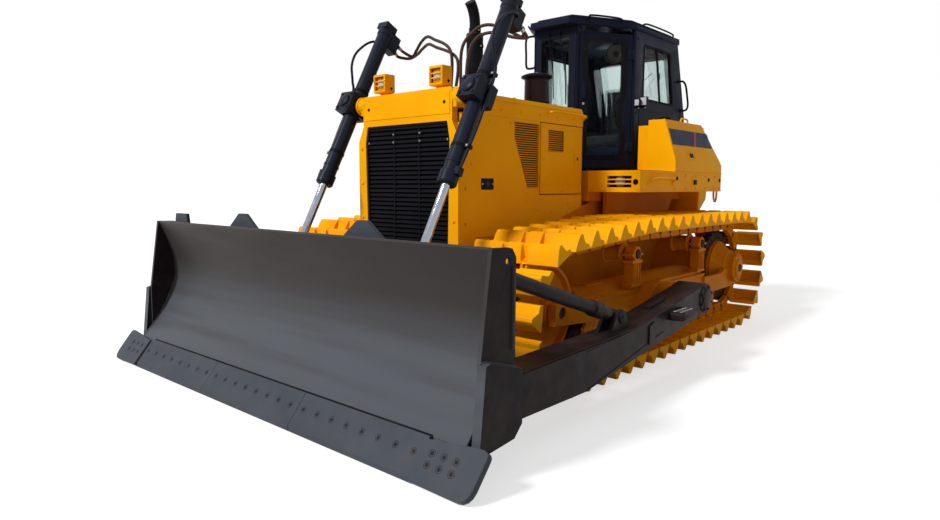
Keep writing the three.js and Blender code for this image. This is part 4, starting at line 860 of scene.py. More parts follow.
def lift_barrel(side):
    name = sided("lift_barrel", side)
    made = Shape("cylinder")
    made.lathe(on_lift(0, -BARREL_ABOVE + 20), LIFT_AXIS, [(0, 60), (BARREL_ABOVE + 520, 60),
        (BARREL_ABOVE + 524, 64), (BARREL_ABOVE + 540, 64), (BARREL_ABOVE + 544, 60),
        (BARREL_ABOVE + 606, 60), (BARREL_ABOVE + 612, 71), (BARREL_ABOVE + 690, 71),
        (BARREL_ABOVE + 700, 64), (BARREL_ABOVE + 702, 38), (BARREL_ABOVE + 690, 33), (40, 33)], 48)
    # Gland bolts
    made.bolts([on_lift(a, BARREL_BELOW - 3, b) for a, b in circle(8, 53)], LIFT_AXIS, 6.5)
    # Square head with its plug, and the oil manifold in front of it
    lift_block(made, -60, 60, -BARREL_ABOVE - 60, -BARREL_ABOVE - 6, -62, 62)
    made.lathe(on_lift(0, -BARREL_ABOVE - 8), LIFT_AXIS, [(0, 58), (10, 66), (52, 66), (58, 60)], 40)
    made.bolts([on_lift(dx, -BARREL_ABOVE - 60, f) for dx, f in product((-42, 42), (-44, 44))], -LIFT_AXIS,
        10)
    lift_block(made, -44, 44, -BARREL_ABOVE - 16, -BARREL_ABOVE + 140, -146, -50)
    lift_block(made, -30, 30, -BARREL_ABOVE + 24, -BARREL_ABOVE + 104, -60, -40)
    made.bolts([on_lift(dx, -BARREL_ABOVE + a, -146) for a, dx in product((18, 106), (-30, 30))], LIFT_BACK,
        7)
    for dx, a in UNIONS:
        foot = on_lift(dx, -BARREL_ABOVE + a, -140)
        made.lathe(foot, LIFT_BACK, [(0, 20), (22, 20), (22, 16), (40, 16)], 6)
        made.lathe(foot + LIFT_BACK * 30, LIFT_BACK, [(0, 17), (34, 15), (38, 12)], 20, "steel")
    # Rod-end port and the pipe down to it
    lift_block(made, 34, 94, BARREL_BELOW - 130, BARREL_BELOW - 72, -27, 27)
    pipe = [(22, -BARREL_ABOVE + 60, -98), (66, -BARREL_ABOVE + 70, -30), (74, -BARREL_ABOVE + 150, 70),
        (84, -470, 138), (90, -350, 130), (98, -240, 60), (102, -140, 8), (102, 200), (88, 480),
        (72, BARREL_BELOW - 100)]
    made.tube([on_lift(*spot) for spot in pipe], 10.5, 14, 7)
    for d in (-150, 430):
        made.lathe(on_lift(0, d - 14), LIFT_AXIS, [(0, 60.2), (2, 63.5), (26, 63.5), (28, 60.2)], 44, "black",
            loop=True)
        lift_block(made, 56, 104, d - 13, d + 13, -22, 22, "black")
        made.bolt(on_lift(86, d, 22), -LIFT_BACK, 7, "steel")
    return build(name + "_body", made.mirrored(side), sided("lift", side), [name], bevel=1.8)


def lift_yoke(side):
    name = sided("lift_yoke", side)
    made = Shape("cylinder")
    for f0, f1 in ((-95, -61), (61, 120)):
        lift_block(made, -84, 84, -85, 85, f0, f1)
    for x0, x1, f0, f1 in ((-84, -61, -61.2, 61.2), (61, 84, -61.2, -16), (61, 84, 16, 61.2)):
        lift_block(made, x0, x1, -85, 85, f0, f1)
    made.bolts([on_lift(dx, a, 120) for dx, a in product((-60, 60), (-60, 60))], -LIFT_BACK, 13)
    made.lathe(on_lift(0, 0, 118), -LIFT_BACK, [(0, 56), (4, 58), (16, 54), (22, 44)], 36)
    made.lathe(on_lift(0, 0, -88), LIFT_BACK, [(0, 62), (6, 60), (34, 58), (42, 50)], 36)
    made.rod(on_lift(-150, 0), on_lift(-80, 0), 44.9, 32)
    made.lathe(on_lift(-84, 0), RIGHT, [(0, 70), (3, 68), (12, 60), (12, 45)], 32)
    return build(name + "_block", made.mirrored(side), sided("lift", side), [name], bevel=4.0)


def lift_rod(side):
    name = sided("lift_rod", side)
    reach = (LIFT_PIN - YOKE).length
    made = Shape("chrome")
    made.lathe(on_lift(0, 60), LIFT_AXIS, [(0, 28), (4, 32), (reach - 60 - 92, 32), (reach - 60 - 88, 30)],
        44)
    made.lathe(on_lift(0, reach - 74), LIFT_AXIS, [(0, 34), (4, 38), (14, 40), (30, 44)], 36, "cylinder")
    eye = [(44 + dx, r) for dx, r in ((-44, 56), (-40, 60), (40, 60), (44, 56), (44, 41), (-44, 41))]
    made.rings([[(LIFT_X - 44 + t, LIFT_PIN.x + a, LIFT_PIN.y + b) for a, b in circle(40, r)]
        for t, r in eye], "cylinder", loop=True)
    grease = on_lift(0, reach - 58, 40)
    made.lathe(grease, -LIFT_BACK, [(0, 6), (8, 6), (12, 4)], 6, "steel")
    return build(name + "_turned", made.mirrored(side), sided("rod", side), [name], bevel=1.0)


on_both_sides(lift_barrel, lift_yoke, lift_rod)


def lift_hoses(side):
    """Two hoses from the hood to the manifold."""
    hoses = Shape("hose")
    for i, (dx, a) in enumerate(UNIONS):
        union = on_lift(dx, -BARREL_ABOVE + a, -170)
        # The hood's fittings lie left of the middle for both pairs
        foot = Vector((130 + 50 * i if side > 0 else -20 - 50 * i, -784, 2140))
        arc = [(0.33, 0, -735 + 20 * i, 2668 - 60 * i), (0.48, 0, -710 + 20 * i, 2704 - 58 * i),
            (0.64, 0, -672 + 20 * i, 2680 - 50 * i), (0.78, 0, -636 + 10 * i, 2628 - 32 * i),
            (0.92, dx, -612, 2590 - 14 * i)]
        points = [foot, foot + Vector((0, 0, 60)), foot + Vector((6, 4 + 20 * i, 390 - 60 * i))]
        points += [Vector((LIFT_X * share + off, y, z)) for share, off, y, z in arc]
        points += [union + LIFT_BACK * d for d in (64, 26, -6)]
        hoses.tube(points, 13, 16, 12)
        hoses.lathe(foot - Vector((0, 0, 4)), UP, [(0, 24), (14, 24), (14, 17), (40, 17), (60, 15)], 6,
            "steel")
    made = build(sided("lift_hoses", side), hoses.mirrored(side), body=None)
    sided("lift", side)
    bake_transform(made)


on_both_sides(lift_hoses)


# ------------------------------------------------------------------ nose, hood and engine room
GUARD_FRONT, HOOD_TOP = -1282, 2140
MUFFLER, CLEANER = (-30, -430), (170, 205)

# main_frame and cab_base take the darker "under" copy of the yellow paint as painted shade
for plain, mat, bevel in (("main_frame", "under", 5.0), ("engine_block", "rust", 8.0),
        ("radiator_guard", "yellow", 7.0), ("hood", "yellow", 3.0), ("rear_tank", "yellow", 16.0),
        ("cab_base", "under", 8.0)):
    dressed(plain, mat, bevel)
for name in both("hood_side") + both("engine_door"):
    dressed(name, "yellow", 3.0)
for plain, bevel in (("headlight", 4.0), ("deck", 5.0), ("side_tank", 14.0)):
    for name in both(plain):
        dressed(name, "yellow", bevel)


def grille():
    """Slanted louvres between two uprights in a black frame."""
    made, half = Shape("black"), [(449.5, 860.5), (469.5, 1779.5), (444.5, 1911.5)]

    def reach(z):
        for (x0, z0), (x1, z1) in zip(half, half[1:]):
            if z <= z1:
                return x0 + (x1 - x0) * (z - z0) / (z1 - z0)
        return half[-1][0]

    face = GUARD_FRONT + 10
    outer = half + [(-x, z) for x, z in reversed(half)]
    inner = [(x - 16, z + (16 if i == 0 else -16 if i == 2 else 0)) for i, (x, z) in enumerate(half)]
    inner += [(-x, z) for x, z in reversed(inner)]
    rings = [[(x, y, z) for x, z in outline] for outline, y in ((outer, face + 46), (outer, face),
        (inner, face), (inner, face + 46))]
    made.rings(rings, loop=True)
    made.prism(outer, "Y", face + 44, face + 48, "rubber")
    count = 30
    for i in range(count):
        z = 884 + (1892 - 884) * i / (count - 1)
        w = min(reach(z - 6), reach(z + 30)) - 14
        made.rings([[(x, face + y, z + h) for y, h in ((6, -15), (9, -15), (9, -1), (42, 15), (42, 17),
            (6, 1))] for x in (-w, w)])
    for x in (-140, 140):
        made.box(x - 5, x + 5, face + 2, face + 45, 870, 1902)
    made.bolts([(x, face + 4, z) for x, z in ((-147, 1780), (-147, 1840), (147, 1780), (147, 1840),
        (-439.04, 1780), (439.04, 1780))], FRONT, 6, "steel")
    return build("grille_louvres", made, replaces=["grille"])


def guard_trim():
    """Blank name panel, edge bolts, yoke bearing caps, side plates and a tow eye on the radiator guard."""
    made = Shape("yellow")
    face = GUARD_FRONT
    made.rings([[(x * k, face - y, z) for x, z in ((-470, 1962), (470, 1962), (474, 1968), (474, 2124),
        (468, 2130), (-468, 2130), (-474, 2124), (-474, 1968))] for k,
        y in ((1.0, -1), (1.0, 3), (0.997, 4))])
    made.bolts([(-420, face - 4, 2048), (420, face - 4, 2048)], FRONT, 9, "rust")
    for s in (-1, 1):
        made.bolts([(s * 512, face, z) for z in (900, 1180, 1460, 1740)], FRONT)
        made.bolts([(s * 555, y, z) for y, z in ((-1200, 1160), (-1200, 1420), (-1212, 1680))], (s, 0, 0))
        # Bearing cap of the lift yoke with its bolts
        made.lathe((s * 560, -1214, 2088), (s, 0, 0), [(0, 78), (18, 78), (26, 72), (26, 50)], 40)
        made.bolts([(s * 579, -1214 + a, 2088 + b) for a, b in circle(6, 64)], (s, 0, 0), 7)
        made.rings([[(s * (x + d), y, z) for y, z in ((-1278, 2010), (-1120, 2010), (-1120, 2150),
            (-1160, 2152), (-1278, 2150))] for x, d in ((470, 0), (492, 0))])
    made.box(-120, 120, face + 2, face - 24, 742, 812)
    made.lathe((0, face - 22, 777), FRONT, [(0, 34), (10, 34), (14, 28), (14, 16)], 28, "rust")
    return build("radiator_guard_trim", made, bevel=2.0)


def louvre(x, depth, z):
    """One slanting blade of a louvre whose outer edge is at x."""
    return [(x - depth, z + 4), (x, z), (x + 2, z + 2), (x + 1, z + 4), (x - depth, z + 10)]


def hood_trim(side):
    """Louvres, edge bolts, a grab rail and a blank plate on the side of the hood."""
    made = Shape("yellow")
    for i in range(28):
        z = 1438 + 18.2 * i
        front = -406 - (z - 1430) * 180 / 390 if z < 1820 else -586
        made.prism(louvre(530, 12, z), "Y", front + 5, -262)
    outline = [(-400, 1424), (-252, 1424), (-252, 1956), (-592, 1956), (-592, 1818)]
    inside = [(-406, 1430), (-258, 1430), (-258, 1950), (-586, 1950), (-586, 1820)]
    made.stack("X", ((outline, 529), (outline, 533), (inside, 533), (inside, 518)), loop=True)
    # A dark plate behind the louvres: painted shade in the recess
    made.prism(inside, "X", 516.5, 518.5, "rust")
    edge = ((-1110, 1900), (-1110, 1600), (-1110, 1300), (-900, 1930), (-640, 1930), (-420, 1380),
        (-640, 1120), (-900, 1120), (-300, 1130), (-60, 1220), (200, 1290), (-252, 1240))
    made.bolts([(530, y, z) for y, z in edge], LEFT, 9)
    made.prism(chamfered(-996, -848, 1412, 1498, 4), "X", 529, 533, "black")
    made.bolts([(533, -982, 1455), (533, -862, 1455)], LEFT, 5, "steel")
    made.lathe((532, -922, 1455), LEFT, [(0, 22), (3, 22), (4, 19), (4, 6)], 24, "trim")
    # Rain strip, bolts and a rail along the edge of the top
    made.prism(((514, 2130), (531, 2096), (534, 2096), (518, 2134)), "Y", -1095, 425)
    made.bolts([(530, y, 2030) for y in range(-1020, 281, 260)], LEFT, 8)
    rail = [(528, -120, 2052), (566, -108, 2064), (572, 0, 2070), (572, 320, 2070), (566, 424, 2064),
        (528, 430, 2052)]
    made.tube(rail, 10, 12, 8)
    for y in (-121, 430):
        made.lathe((526, y, 2050), LEFT, [(0, 20), (8, 20), (12, 14), (12, 8)], 20)
    return build(sided("hood_trim", side), made.mirrored(side), bevel=0.8)


def hood_top():
    """Panel joints, hose ports, a filler cap and lifting eyes on top of the hood."""
    made = Shape("yellow")
    made.bolts([(x, y, HOOD_TOP) for y, x in product((-1020, -640, -60, 60, 360), (-450, 450))], UP, 9)
    made.prism(chamfered(-108, 248, -850, -712, 8), "Z", HOOD_TOP - 1, HOOD_TOP + 5)
    made.bolts(product((-92, 232), (-836, -726), (HOOD_TOP + 5,)), UP, 7)
    made.lathe((-180, -980, HOOD_TOP - 2), UP, [(0, 62), (14, 60), (16, 54), (34, 54), (38, 48), (38, 12)],
        32)
    for y in (-560, 0):
        made.box(-505, 505, y - 1.2, y + 1.2, HOOD_TOP - 0.5, HOOD_TOP + 1.2, "rubber")
    for y, x in product((-300, 320), (300, -300)):
        made.tube([(x - 32, y, HOOD_TOP - 6), (x - 30, y, HOOD_TOP + 22), (x, y, HOOD_TOP + 40),
            (x + 30, y, HOOD_TOP + 22), (x + 32, y, HOOD_TOP - 6)], 7, 12, 5)
    return build("hood_top_trim", made, bevel=0.8)


def door_trim(side):
    """Louvres, a paddle latch and a pressed border on the engine door."""
    made = Shape("yellow")
    for i in range(10):
        z = 1738 + 17.8 * i
        made.prism(louvre(533, 12, z), "Y", -116, 106)
    ring = rectangle(-126, 116, 1729, 1921)
    hole = rectangle(-120, 110, 1735, 1915)
    made.stack("X", ((ring, 533), (ring, 537), (hole, 537), (hole, 520)), loop=True)
    # A dark plate behind the louvres: painted shade in the recess
    made.prism(hole, "X", 519.5, 521.5, "rust")
    made.prism(chamfered(284, 376, 1638, 1732, 4), "X", 533, 540)
    made.box(539, 541, 298, 362, 1650, 1720, "rust")
    made.prism(rectangle(304, 356, 1656, 1714), "X", 540, 543)
    made.prism(rectangle(318, 338, 1672, 1700), "X", 543, 546, "black")
    edge = ((-190, 1400), (-190, 1940), (390, 1400), (390, 1940), (-190, 1670), (100, 1400), (100, 1944))
    made.bolts([(534, y, z) for y, z in edge], LEFT, 8)
    return build(sided("engine_door_trim", side), made.mirrored(side), sided("engine_door", side), bevel=0.8)


def exhaust():
    x, y = MUFFLER
    made = Shape("black")
    made.lathe((x, y, 2140.4), UP, [(0, 96), (6, 96), (10, 92), (20, 80), (30, 74), (32, 70), (40, 72),
        (60, 72), (64, 75), (72, 75), (76, 72), (570, 72), (574, 75), (582, 75), (586, 72), (594, 68),
        (598, 56), (599, 51), (640, 51), (644, 46), (648, 46)], 56)
    made.tube([(x, y, 2770), (x, y, 2830), (x, y - 10, 2890), (x, y - 34, 2946), (x, y - 62, 2984)], 46, 32,
        8)
    # Open mouth: a dark lining set in the end of the pipe
    d = Vector((0, -28, 38)).normalized()
    end = Vector((x, y - 62, 2984))
    made.lathe(end - d * 1, d, [(0, 46), (3, 47), (5, 45), (4, 41), (-40, 41), (-40, 1)], 36, "rust")
    made.lathe((x, y, 1990), UP, [(0, 47), (150, 47)], 24)
    for z in (2222, 2610):
        made.box(x + 68, x + 92, y - 9, y + 9, z, z + 22)
        made.bolt((x + 80, y - 9, z + 11), FRONT, 6, "steel")
    made.box(x + 46, x + 62, y - 8, y + 8, 2746, 2766)
    made.bolt((x + 54, y - 8, 2756), FRONT, 5, "steel")
    return build("exhaust_smooth", made, replaces=["exhaust_stack"])


def precleaner():
    x, y = CLEANER
    made = Shape("black")
    made.lathe((x, y, 2062), UP, [(0, 60), (78, 60), (78.4, 100), (84, 100), (92, 96), (98, 66), (122, 66),
        (130, 112), (134, 116)], 56)
    made.lathe((x, y, 2195), UP, [(0, 118), (18, 118), (22, 113), (150, 111), (206, 110), (212, 100)], 56,
        "bowl")
    made.lathe((x, y, 2398), UP, [(0, 100), (4, 114), (14, 114), (18, 130), (21, 142), (36, 142), (40, 136),
        (56, 96), (63, 60), (64, 20)], 56)
    made.bolts([(x + a, y + b, 2434) for a, b in circle(3, 124, 0.4)], UP, 7, "steel")
    made.lathe((x, y, 2460), UP, [(-2, 16), (8, 16), (12, 12), (12, 4)], 6, "steel")
    made.tube([(x + 64, y - 14, 2182), (x + 84, y - 22, 2176), (x + 86, y - 30, 2172)], 6, 10, 4, "steel")
    return build("air_precleaner_smooth", made, replaces=["air_precleaner"])


def lamps(side):
    """Lens, reflector rim and fixing bolts of a headlight."""
    made, x = Shape("lamp"), 313
    face = GUARD_FRONT + 40
    def ringed(outline, layers):
        """The outline at (scale, distance to the front) steps round the lamp's middle."""
        return [([(x + k * a, 2249 + k * h) for a, h in outline], face - d) for k, d in layers]

    lens = ((-46, -48), (46, -48), (53, -41), (53, 41), (46, 48), (-46, 48), (-53, 41), (-53, -41))
    rim = ((-46, -50), (46, -50), (54, -42), (54, 42), (46, 50), (-46, 50), (-54, 42), (-54, -42))
    made.stack("Y", ringed(lens, ((0.6, -2), (0.6, 2), (0.52, 8), (0.34, 11), (0.1, 12))))
    made.stack("Y", ringed(rectangle(-46, 46, -48, 48), ((1.0, -1), (0.02, -1))), "black")
    made.stack("Y", ringed(rim, ((1.0, -1), (1.0, 7), (0.93, 7), (0.93, -1))), "black", True)
    made.bolts(product((x - 60, x + 60), (GUARD_FRONT + 18,), (2232, 2266)), FRONT, 5, "steel")
    for s in (-1, 1):
        made.bolt((x + s * 72, GUARD_FRONT + 80, 2210), (s, 0, 0), 8, "black")
    made.box(x - 30, x + 30, GUARD_FRONT + 66, GUARD_FRONT + 108, 2150, 2160, "yellow")
    return build(sided("headlight_lens", side), made.mirrored(side))


grille()
guard_trim()
hood_top()
exhaust()
precleaner()
on_both_sides(hood_trim, door_trim, lamps)


# ------------------------------------------------------------------ decks and tanks
DECK_FRONT, DECK_REAR, DECK_HALF, DECK_FOOT, DECK_TOP, TANK_TOP = 472, 2330, 1090, 1390, 1582, 2078


def tank_wall(y, z, off=0.0):
    """A point on the side tank's leaning outer wall."""
    x = 1090 - (z - 1688) * (1090 - 968) / (TANK_TOP - 1688)
    return (x + off * 0.954, y, z + off * 0.299)


def deck_trim(side):
    """Lamp plate, plugs, latch, tread plate, skirts and bolts of a fender deck."""
    made = Shape("yellow")
    # Front lamp plate with slots, over the slotted front wall
    made.prism(chamfered(606, 744, 1398, 1574, 4), "Y", DECK_FRONT + 1, DECK_FRONT - 4)
    made.bolts(product((622, 728), (DECK_FRONT - 4,), (1414, 1558)), FRONT, 8)
    for z in (DECK_FOOT + 41, DECK_FOOT + 79, DECK_FOOT + 117):
        made.prism(rectangle(DECK_FRONT + 6, DECK_FRONT + 50, z, z + 3), "X", 762, 1018, "black")
    made.box(768, 1012, DECK_FRONT + 46, DECK_FRONT + 56, DECK_FOOT + 38, DECK_FOOT + 150, "rubber")
    made.lathe((880, DECK_FRONT + 44, DECK_FOOT + 93), FRONT, [(0, 52), (8, 52), (20, 40), (24, 6)], 32,
        "lamp")
    made.lathe((1050, DECK_FRONT + 6, 1480), FRONT, [(0, 26), (8, 26), (12, 22), (13, 4)], 28, "black")
    made.bolts(product((756, 1068), (DECK_FRONT,), (1412, 1560)), FRONT, 8)
    # Side wall: folded lip, plugs and latch
    made.box(DECK_HALF - 2, DECK_HALF + 5, DECK_FRONT + 4, DECK_REAR - 4, 1566, 1580)
    made.box(DECK_HALF - 2, DECK_HALF + 5, DECK_FRONT + 4, DECK_REAR - 4, 1392, 1404)
    for y, z in ((1224, 1517), (1990, 1509), (2290, 1507)):
        made.lathe((DECK_HALF - 1, y, z), LEFT, [(0, 20), (6, 19), (8, 14), (8, 4)], 24, "rubber")
    made.bolts(product((DECK_HALF,), (520, 1180, 1420, 1660, 1900, 2140, 2280), (1424, 1545)), LEFT, 8)
    made.prism(chamfered(1554, 1706, 1430, 1536, 6), "X", DECK_HALF - 1, DECK_HALF + 5)
    made.box(DECK_HALF + 4, DECK_HALF + 16, 1600, 1660, 1460, 1506, "black")
    for y in (636, 1134):
        made.lathe((DECK_HALF - 2, y, 1470), LEFT, [(0, 24), (7, 24), (10, 18), (10, 10)], 24)
    # Anti-slip plate on top in front of the tank, and under the cab door
    made.box(590, DECK_HALF - 20, DECK_FRONT + 20, 1160, DECK_TOP - 1, DECK_TOP + 3, "black")
    for i, k in product(range(9), range(11)):
        x, y, lean = 640 + 50 * i, 520 + 58 * k, 6 if (i + k) % 2 else -6
        made.stack("Z", [([(x - 14 + a, y - lean - b), (x + 14 - a, y + lean - b), (x + 14 - a, y + lean + b),
            (x - 14 + a, y - lean + b)], DECK_TOP + h) for a, b, h in ((0, 3, 2), (3, 1, 5.5))], "black")
    return build(sided("deck_trim", side), made.mirrored(side), bevel=0.8)


def tank_trim(side):
    """Navy band with a red stripe, bolts, latch and cap of a side tank."""
    made = Shape("navy")

    def patch(corners, low, high, mat):
        made.rings([[tank_wall(y, z, off) for y, z in corners] for off in (low, high)], mat)

    low, high = 1838, 1992
    patch([(1208, low), (2170, low), (2112, high), (1208, high)], -1, 1.6, "navy")
    patch([(1700, low), (1742, low), (1836, high), (1794, high)], -1, 2.4, "red")
    edge = ((1210, 1720), (1210, 1800), (1210, 2040), (2060, 2040), (2250, 1720), (1640, 1720))
    made.bolts([tank_wall(y, z) for y, z in edge], (0.954, 0, 0.299), 8, "yellow")
    patch(chamfered(1504, 1616, 1700, 1782, 6), -1, 6, "yellow")
    patch(rectangle(1530, 1590, 1722, 1760), 4, 15, "black")
    made.lathe((890, 1360, TANK_TOP - 2), UP, [(0, 70), (8, 68), (10, 56), (34, 54), (40, 46), (40, 12)], 36,
        "black")
    edge = ((830, 1230), (940, 1230), (830, 1980), (940, 1980), (830, 1600))
    made.bolts([(x, y, TANK_TOP) for x, y in edge], UP, 8, "yellow")
    made.tube([(884, 1720, TANK_TOP - 4), (884, 1730, TANK_TOP + 44), (884, 1800, TANK_TOP + 52),
        (884, 1880, TANK_TOP + 44), (884, 1890, TANK_TOP - 4)], 9, 12, 6, "yellow")
    return build(sided("side_tank_trim", side), made.mirrored(side), bevel=0.8)


def rear_trim():
    """Rear tank: access cover, steps, filler and drawbar pin."""
    made = Shape("yellow")
    made.prism(chamfered(-270, 270, 1330, 1770, 10), "Y", 2738, 2764)
    made.bolts(product((-250, 250), (2764,), range(1350, 1750, 133)), REAR, 9)
    for s in (-1, 1):
        for z in (1380, 1640, 1880):
            made.tube([(s * 430, 2756, z), (s * 430, 2790, z), (s * 640, 2790, z), (s * 640, 2756, z)], 9, 12,
                5)
        made.lathe((s * 700, 2758, 1900), REAR, [(0, 46), (10, 46), (16, 40), (18, 34)], 32, "black")
        made.lathe((s * 700, 2770, 1900), REAR, [(0, 34), (4, 30), (7, 20), (8, 4)], 32, "lamp")
        made.bolts([(s * 780, 2560, 1700), (s * 780, 2660, 1700)], (s, 0, 0), 9)
    made.lathe((0, 2690, 360), UP, [(0, 18), (6, 26), (290, 26), (294, 44), (310, 44), (316, 36), (316, 8)],
        28, "steel")
    made.tube([(-12, 2690, 676), (-40, 2690, 700), (0, 2690, 722), (40, 2690, 700), (12, 2690, 676)], 6, 10,
        5, "steel")
    made.bolts([(x, 2560, 600) for x in (-400, 0, 400)], REAR, 14)
    made.lathe((-520, 2600, 2038), (0, 0.08, 1), [(0, 60), (12, 58), (14, 50), (34, 48), (38, 40), (38, 8)],
        32, "black")
    return build("rear_trim", made, bevel=0.8)


on_both_sides(deck_trim, tank_trim)
rear_trim()


# ------------------------------------------------------------------ cab
CORNER, A_PILLAR = Vector((580, 1300)), Vector((250, 742))
DOOR_ALONG = (A_PILLAR - CORNER).normalized()
DOOR_OUT = Vector((-DOOR_ALONG.y, DOOR_ALONG.x))
DOOR_SPAN = (A_PILLAR - CORNER).length


def on_door(a, out, z):
    """A point on the left door: along it from its hinges, out of it, and up."""
    p = CORNER + DOOR_ALONG * a + DOOR_OUT * out
    return (p.x, p.y, z)


def rear_wall(z, inset=0.0):
    return 2492 - max(0.0, z - 2215) * 230 / 760 - inset


def grown(outline, d):
    """An outline pushed outwards by d; its points run counter-clockwise."""
    n, out = len(outline), []
    for i, p in enumerate(outline):
        a, b, c = Vector(outline[i - 1]), Vector(p), Vector(outline[(i + 1) % n])
        e, f = (b - a).normalized(), (c - b).normalized()
        normal = (Vector((e.y, -e.x)) + Vector((f.y, -f.x))).normalized()
        out.append(tuple(b + normal * (d / max(0.4, normal.dot(Vector((e.y, -e.x)))))))
    return out


def rounded(outline, radius, steps=4):
    """The outline with its corners rounded."""
    n, out = len(outline), []
    for i, p in enumerate(outline):
        a, b, c = Vector(outline[i - 1]), Vector(p), Vector(outline[(i + 1) % n])
        start, end = b + (a - b).normalized() * radius, b + (c - b).normalized() * radius
        for k in range(steps + 1):
            t = k / steps
            out.append(tuple(start * (1 - t) ** 2 + b * (2 * t * (1 - t)) + end * t * t))
    return out


def window(shape, outline, place, depth=12.0, lip=14.0, radius=42, border=9):
    """A pane in a rubber seal; place(u, v, d) puts a point of its plane at a depth from the outside."""
    hole = rounded(outline, radius)
    shape.rings([[place(u, v, d) for u, v in grown(hole, 5)] for d in (depth, depth + 5)], "glass")
    outer, inner = grown(hole, border), grown(hole, -lip)
    shape.rings([[place(u, v, d) for u, v in ring] for ring, d in ((outer, -2.0), (inner, -2.0),
        (inner, depth + 12), (outer, depth + 12))], "rubber", loop=True)


def wiper(shape, root, tip, blade_a, blade_b, normal):
    """A wiper arm on a pivot and its blade on the glass."""
    n = Vector(normal)
    shape.lathe(Vector(root) - n * 12, n, [(0, 20), (18, 20), (24, 15), (30, 14), (30, 3)], 20, "black")
    shape.tube([Vector(root) + n * 12, Vector(root).lerp(Vector(tip), 0.5) + n * 22, Vector(tip) + n * 10], 5,
        8, 6, "black")
    a, b = Vector(blade_a), Vector(blade_b)
    shape.rod(a + n * 7, b + n * 7, 5, 8, "black")
    across = (b - a).cross(n).normalized() * 4
    shape.rings([[p - n * 2, p + n * 6, p + n * 6 + across, p - n * 2 + across] for p in (a, b)], "rubber")


for plain, bevel in (("cab_front", 4.0), ("cab_rear", 5.0), ("cab_roof", 16.0), ("cab_floor", 2.0)):
    dressed(plain, "cab", bevel)
for name, bevel in zip(both("cab_side") + both("cab_door"), (4.0, 4.0, 3.0, 3.0)):
    dressed(name, "cab", bevel)
for name in ["dashboard", "seat_base"] + both("console"):
    dressed(name, "trim", 3.0, 50)


def front_glass():
    made = Shape("glass")
    window(made, rectangle(-175, 175, 1850, 2890), lambda u, v, d: (u, 742 + d, v))
    wiper(made, (60, 742, 2920), (128, 742, 2560), (126, 742, 2740), (138, 742, 2240), FRONT)
    wiper(made, (-70, 742, 2920), (-20, 742, 2600), (-24, 742, 2780), (-6, 742, 2300), FRONT)
    made.bolts(product((-212, 212), (742,), (1700, 2100, 2500, 2900)), FRONT, 6, "cab")
    # Trim strips down both sides of the windscreen and a lower kick panel
    for x in (-236, 236):
        made.box(x - 5, x + 5, 736, 743, 1612, 2960, "rubber")
    made.prism(chamfered(-176, 176, 1640, 1802, 6), "Y", 743, 736, "cab")
    # Grab handle that stands off the right front post
    made.tube([(-246, 770, 2944), (-350, 772, 2946), (-392, 790, 2910), (-396, 800, 2780), (-392, 800, 2670),
        (-350, 782, 2636), (-246, 770, 2634)], 11, 14, 6, "black")
    for z in (2634, 2944):
        made.lathe((-262, 770, z), LEFT, [(0, 22), (12, 24), (18, 24)], 20, "black")
    return build("windscreen", made)


def side_glass(side):
    made = Shape("glass")

    window(made, [(1480, 2320), (2180, 2320), (2080, 2860), (1480, 2860)], lambda y, z, d: (580 - d, y, z))
    # Upright of the sliding pane with its catch
    made.prism([(1866, 2322), (1896, 2322), (1786, 2858), (1756, 2858)], "X", 576, 562, "rubber")
    made.box(560, 577, 1836, 1858, 2560, 2620, "black")
    edge = ((1380, 1700), (1420, 1700), (1350, 1680), (1350, 2180), (1350, 2900), (2180, 1680), (2300, 2120),
        (2180, 2240))
    made.bolts([(580, y, z) for y, z in edge], LEFT, 7, "cab")
    # Raised border of the lower side panel
    outer = rounded([(1400, 1660), (2400, 1660), (2400, 2200), (2370, 2230), (1400, 2230)], 30)
    made.border("X", outer, grown(outer, -12), 579, 583, "cab")
    # Two work lights on brackets behind the door, facing forward
    for x, y, z, w, h in ((604, 1318, 2272, 27, 34), (648, 1372, 2286, 36, 44)):
        def square(k):
            return rectangle(x - w * k, x + w * k, z - h * k, z + h * k)

        made.stack("Y", [(square(k), y + dy) for k, dy in ((0.7, 46), (1.0, 20), (1.0, -12), (0.84, -12))],
            "black")
        made.stack("Y", [(square(k), y - d) for k, d in ((0.84, 11), (0.84, 14), (0.5, 17))], "lamp")
        made.box(578, x, y + 16, y + 30, z - h - 14, z - h + 2, "black")
        made.bolt((x, y + 23, z - h - 14), DOWN, 7, "steel")
    # Grab handle at the rear corner
    made.tube([(574, 2300, 2590), (630, 2316, 2590), (648, 2352, 2540), (650, 2392, 2430), (648, 2420, 2340),
        (630, 2410, 2290), (574, 2380, 2284)], 11, 14, 6, "black")
    for y, z in ((2300, 2590), (2380, 2284)):
        made.lathe((577, y, z), LEFT, [(0, 24), (6, 24), (12, 18), (12, 10)], 20, "black")
    # Roof rail along the edge of the roof
    made.tube([(566, 1420, 3022), (600, 1430, 3048), (602, 1560, 3062), (602, 1960, 3062), (600, 2090, 3048),
        (566, 2100, 3022)], 9, 12, 6, "black")
    made.tube([(318, 800, 3022), (352, 790, 3046), (372, 810, 3058), (478, 1010, 3058), (520, 1110, 3050),
        (500, 1140, 3022)], 9, 12, 6, "black")
    return build(sided("side_glass", side), made.mirrored(side))


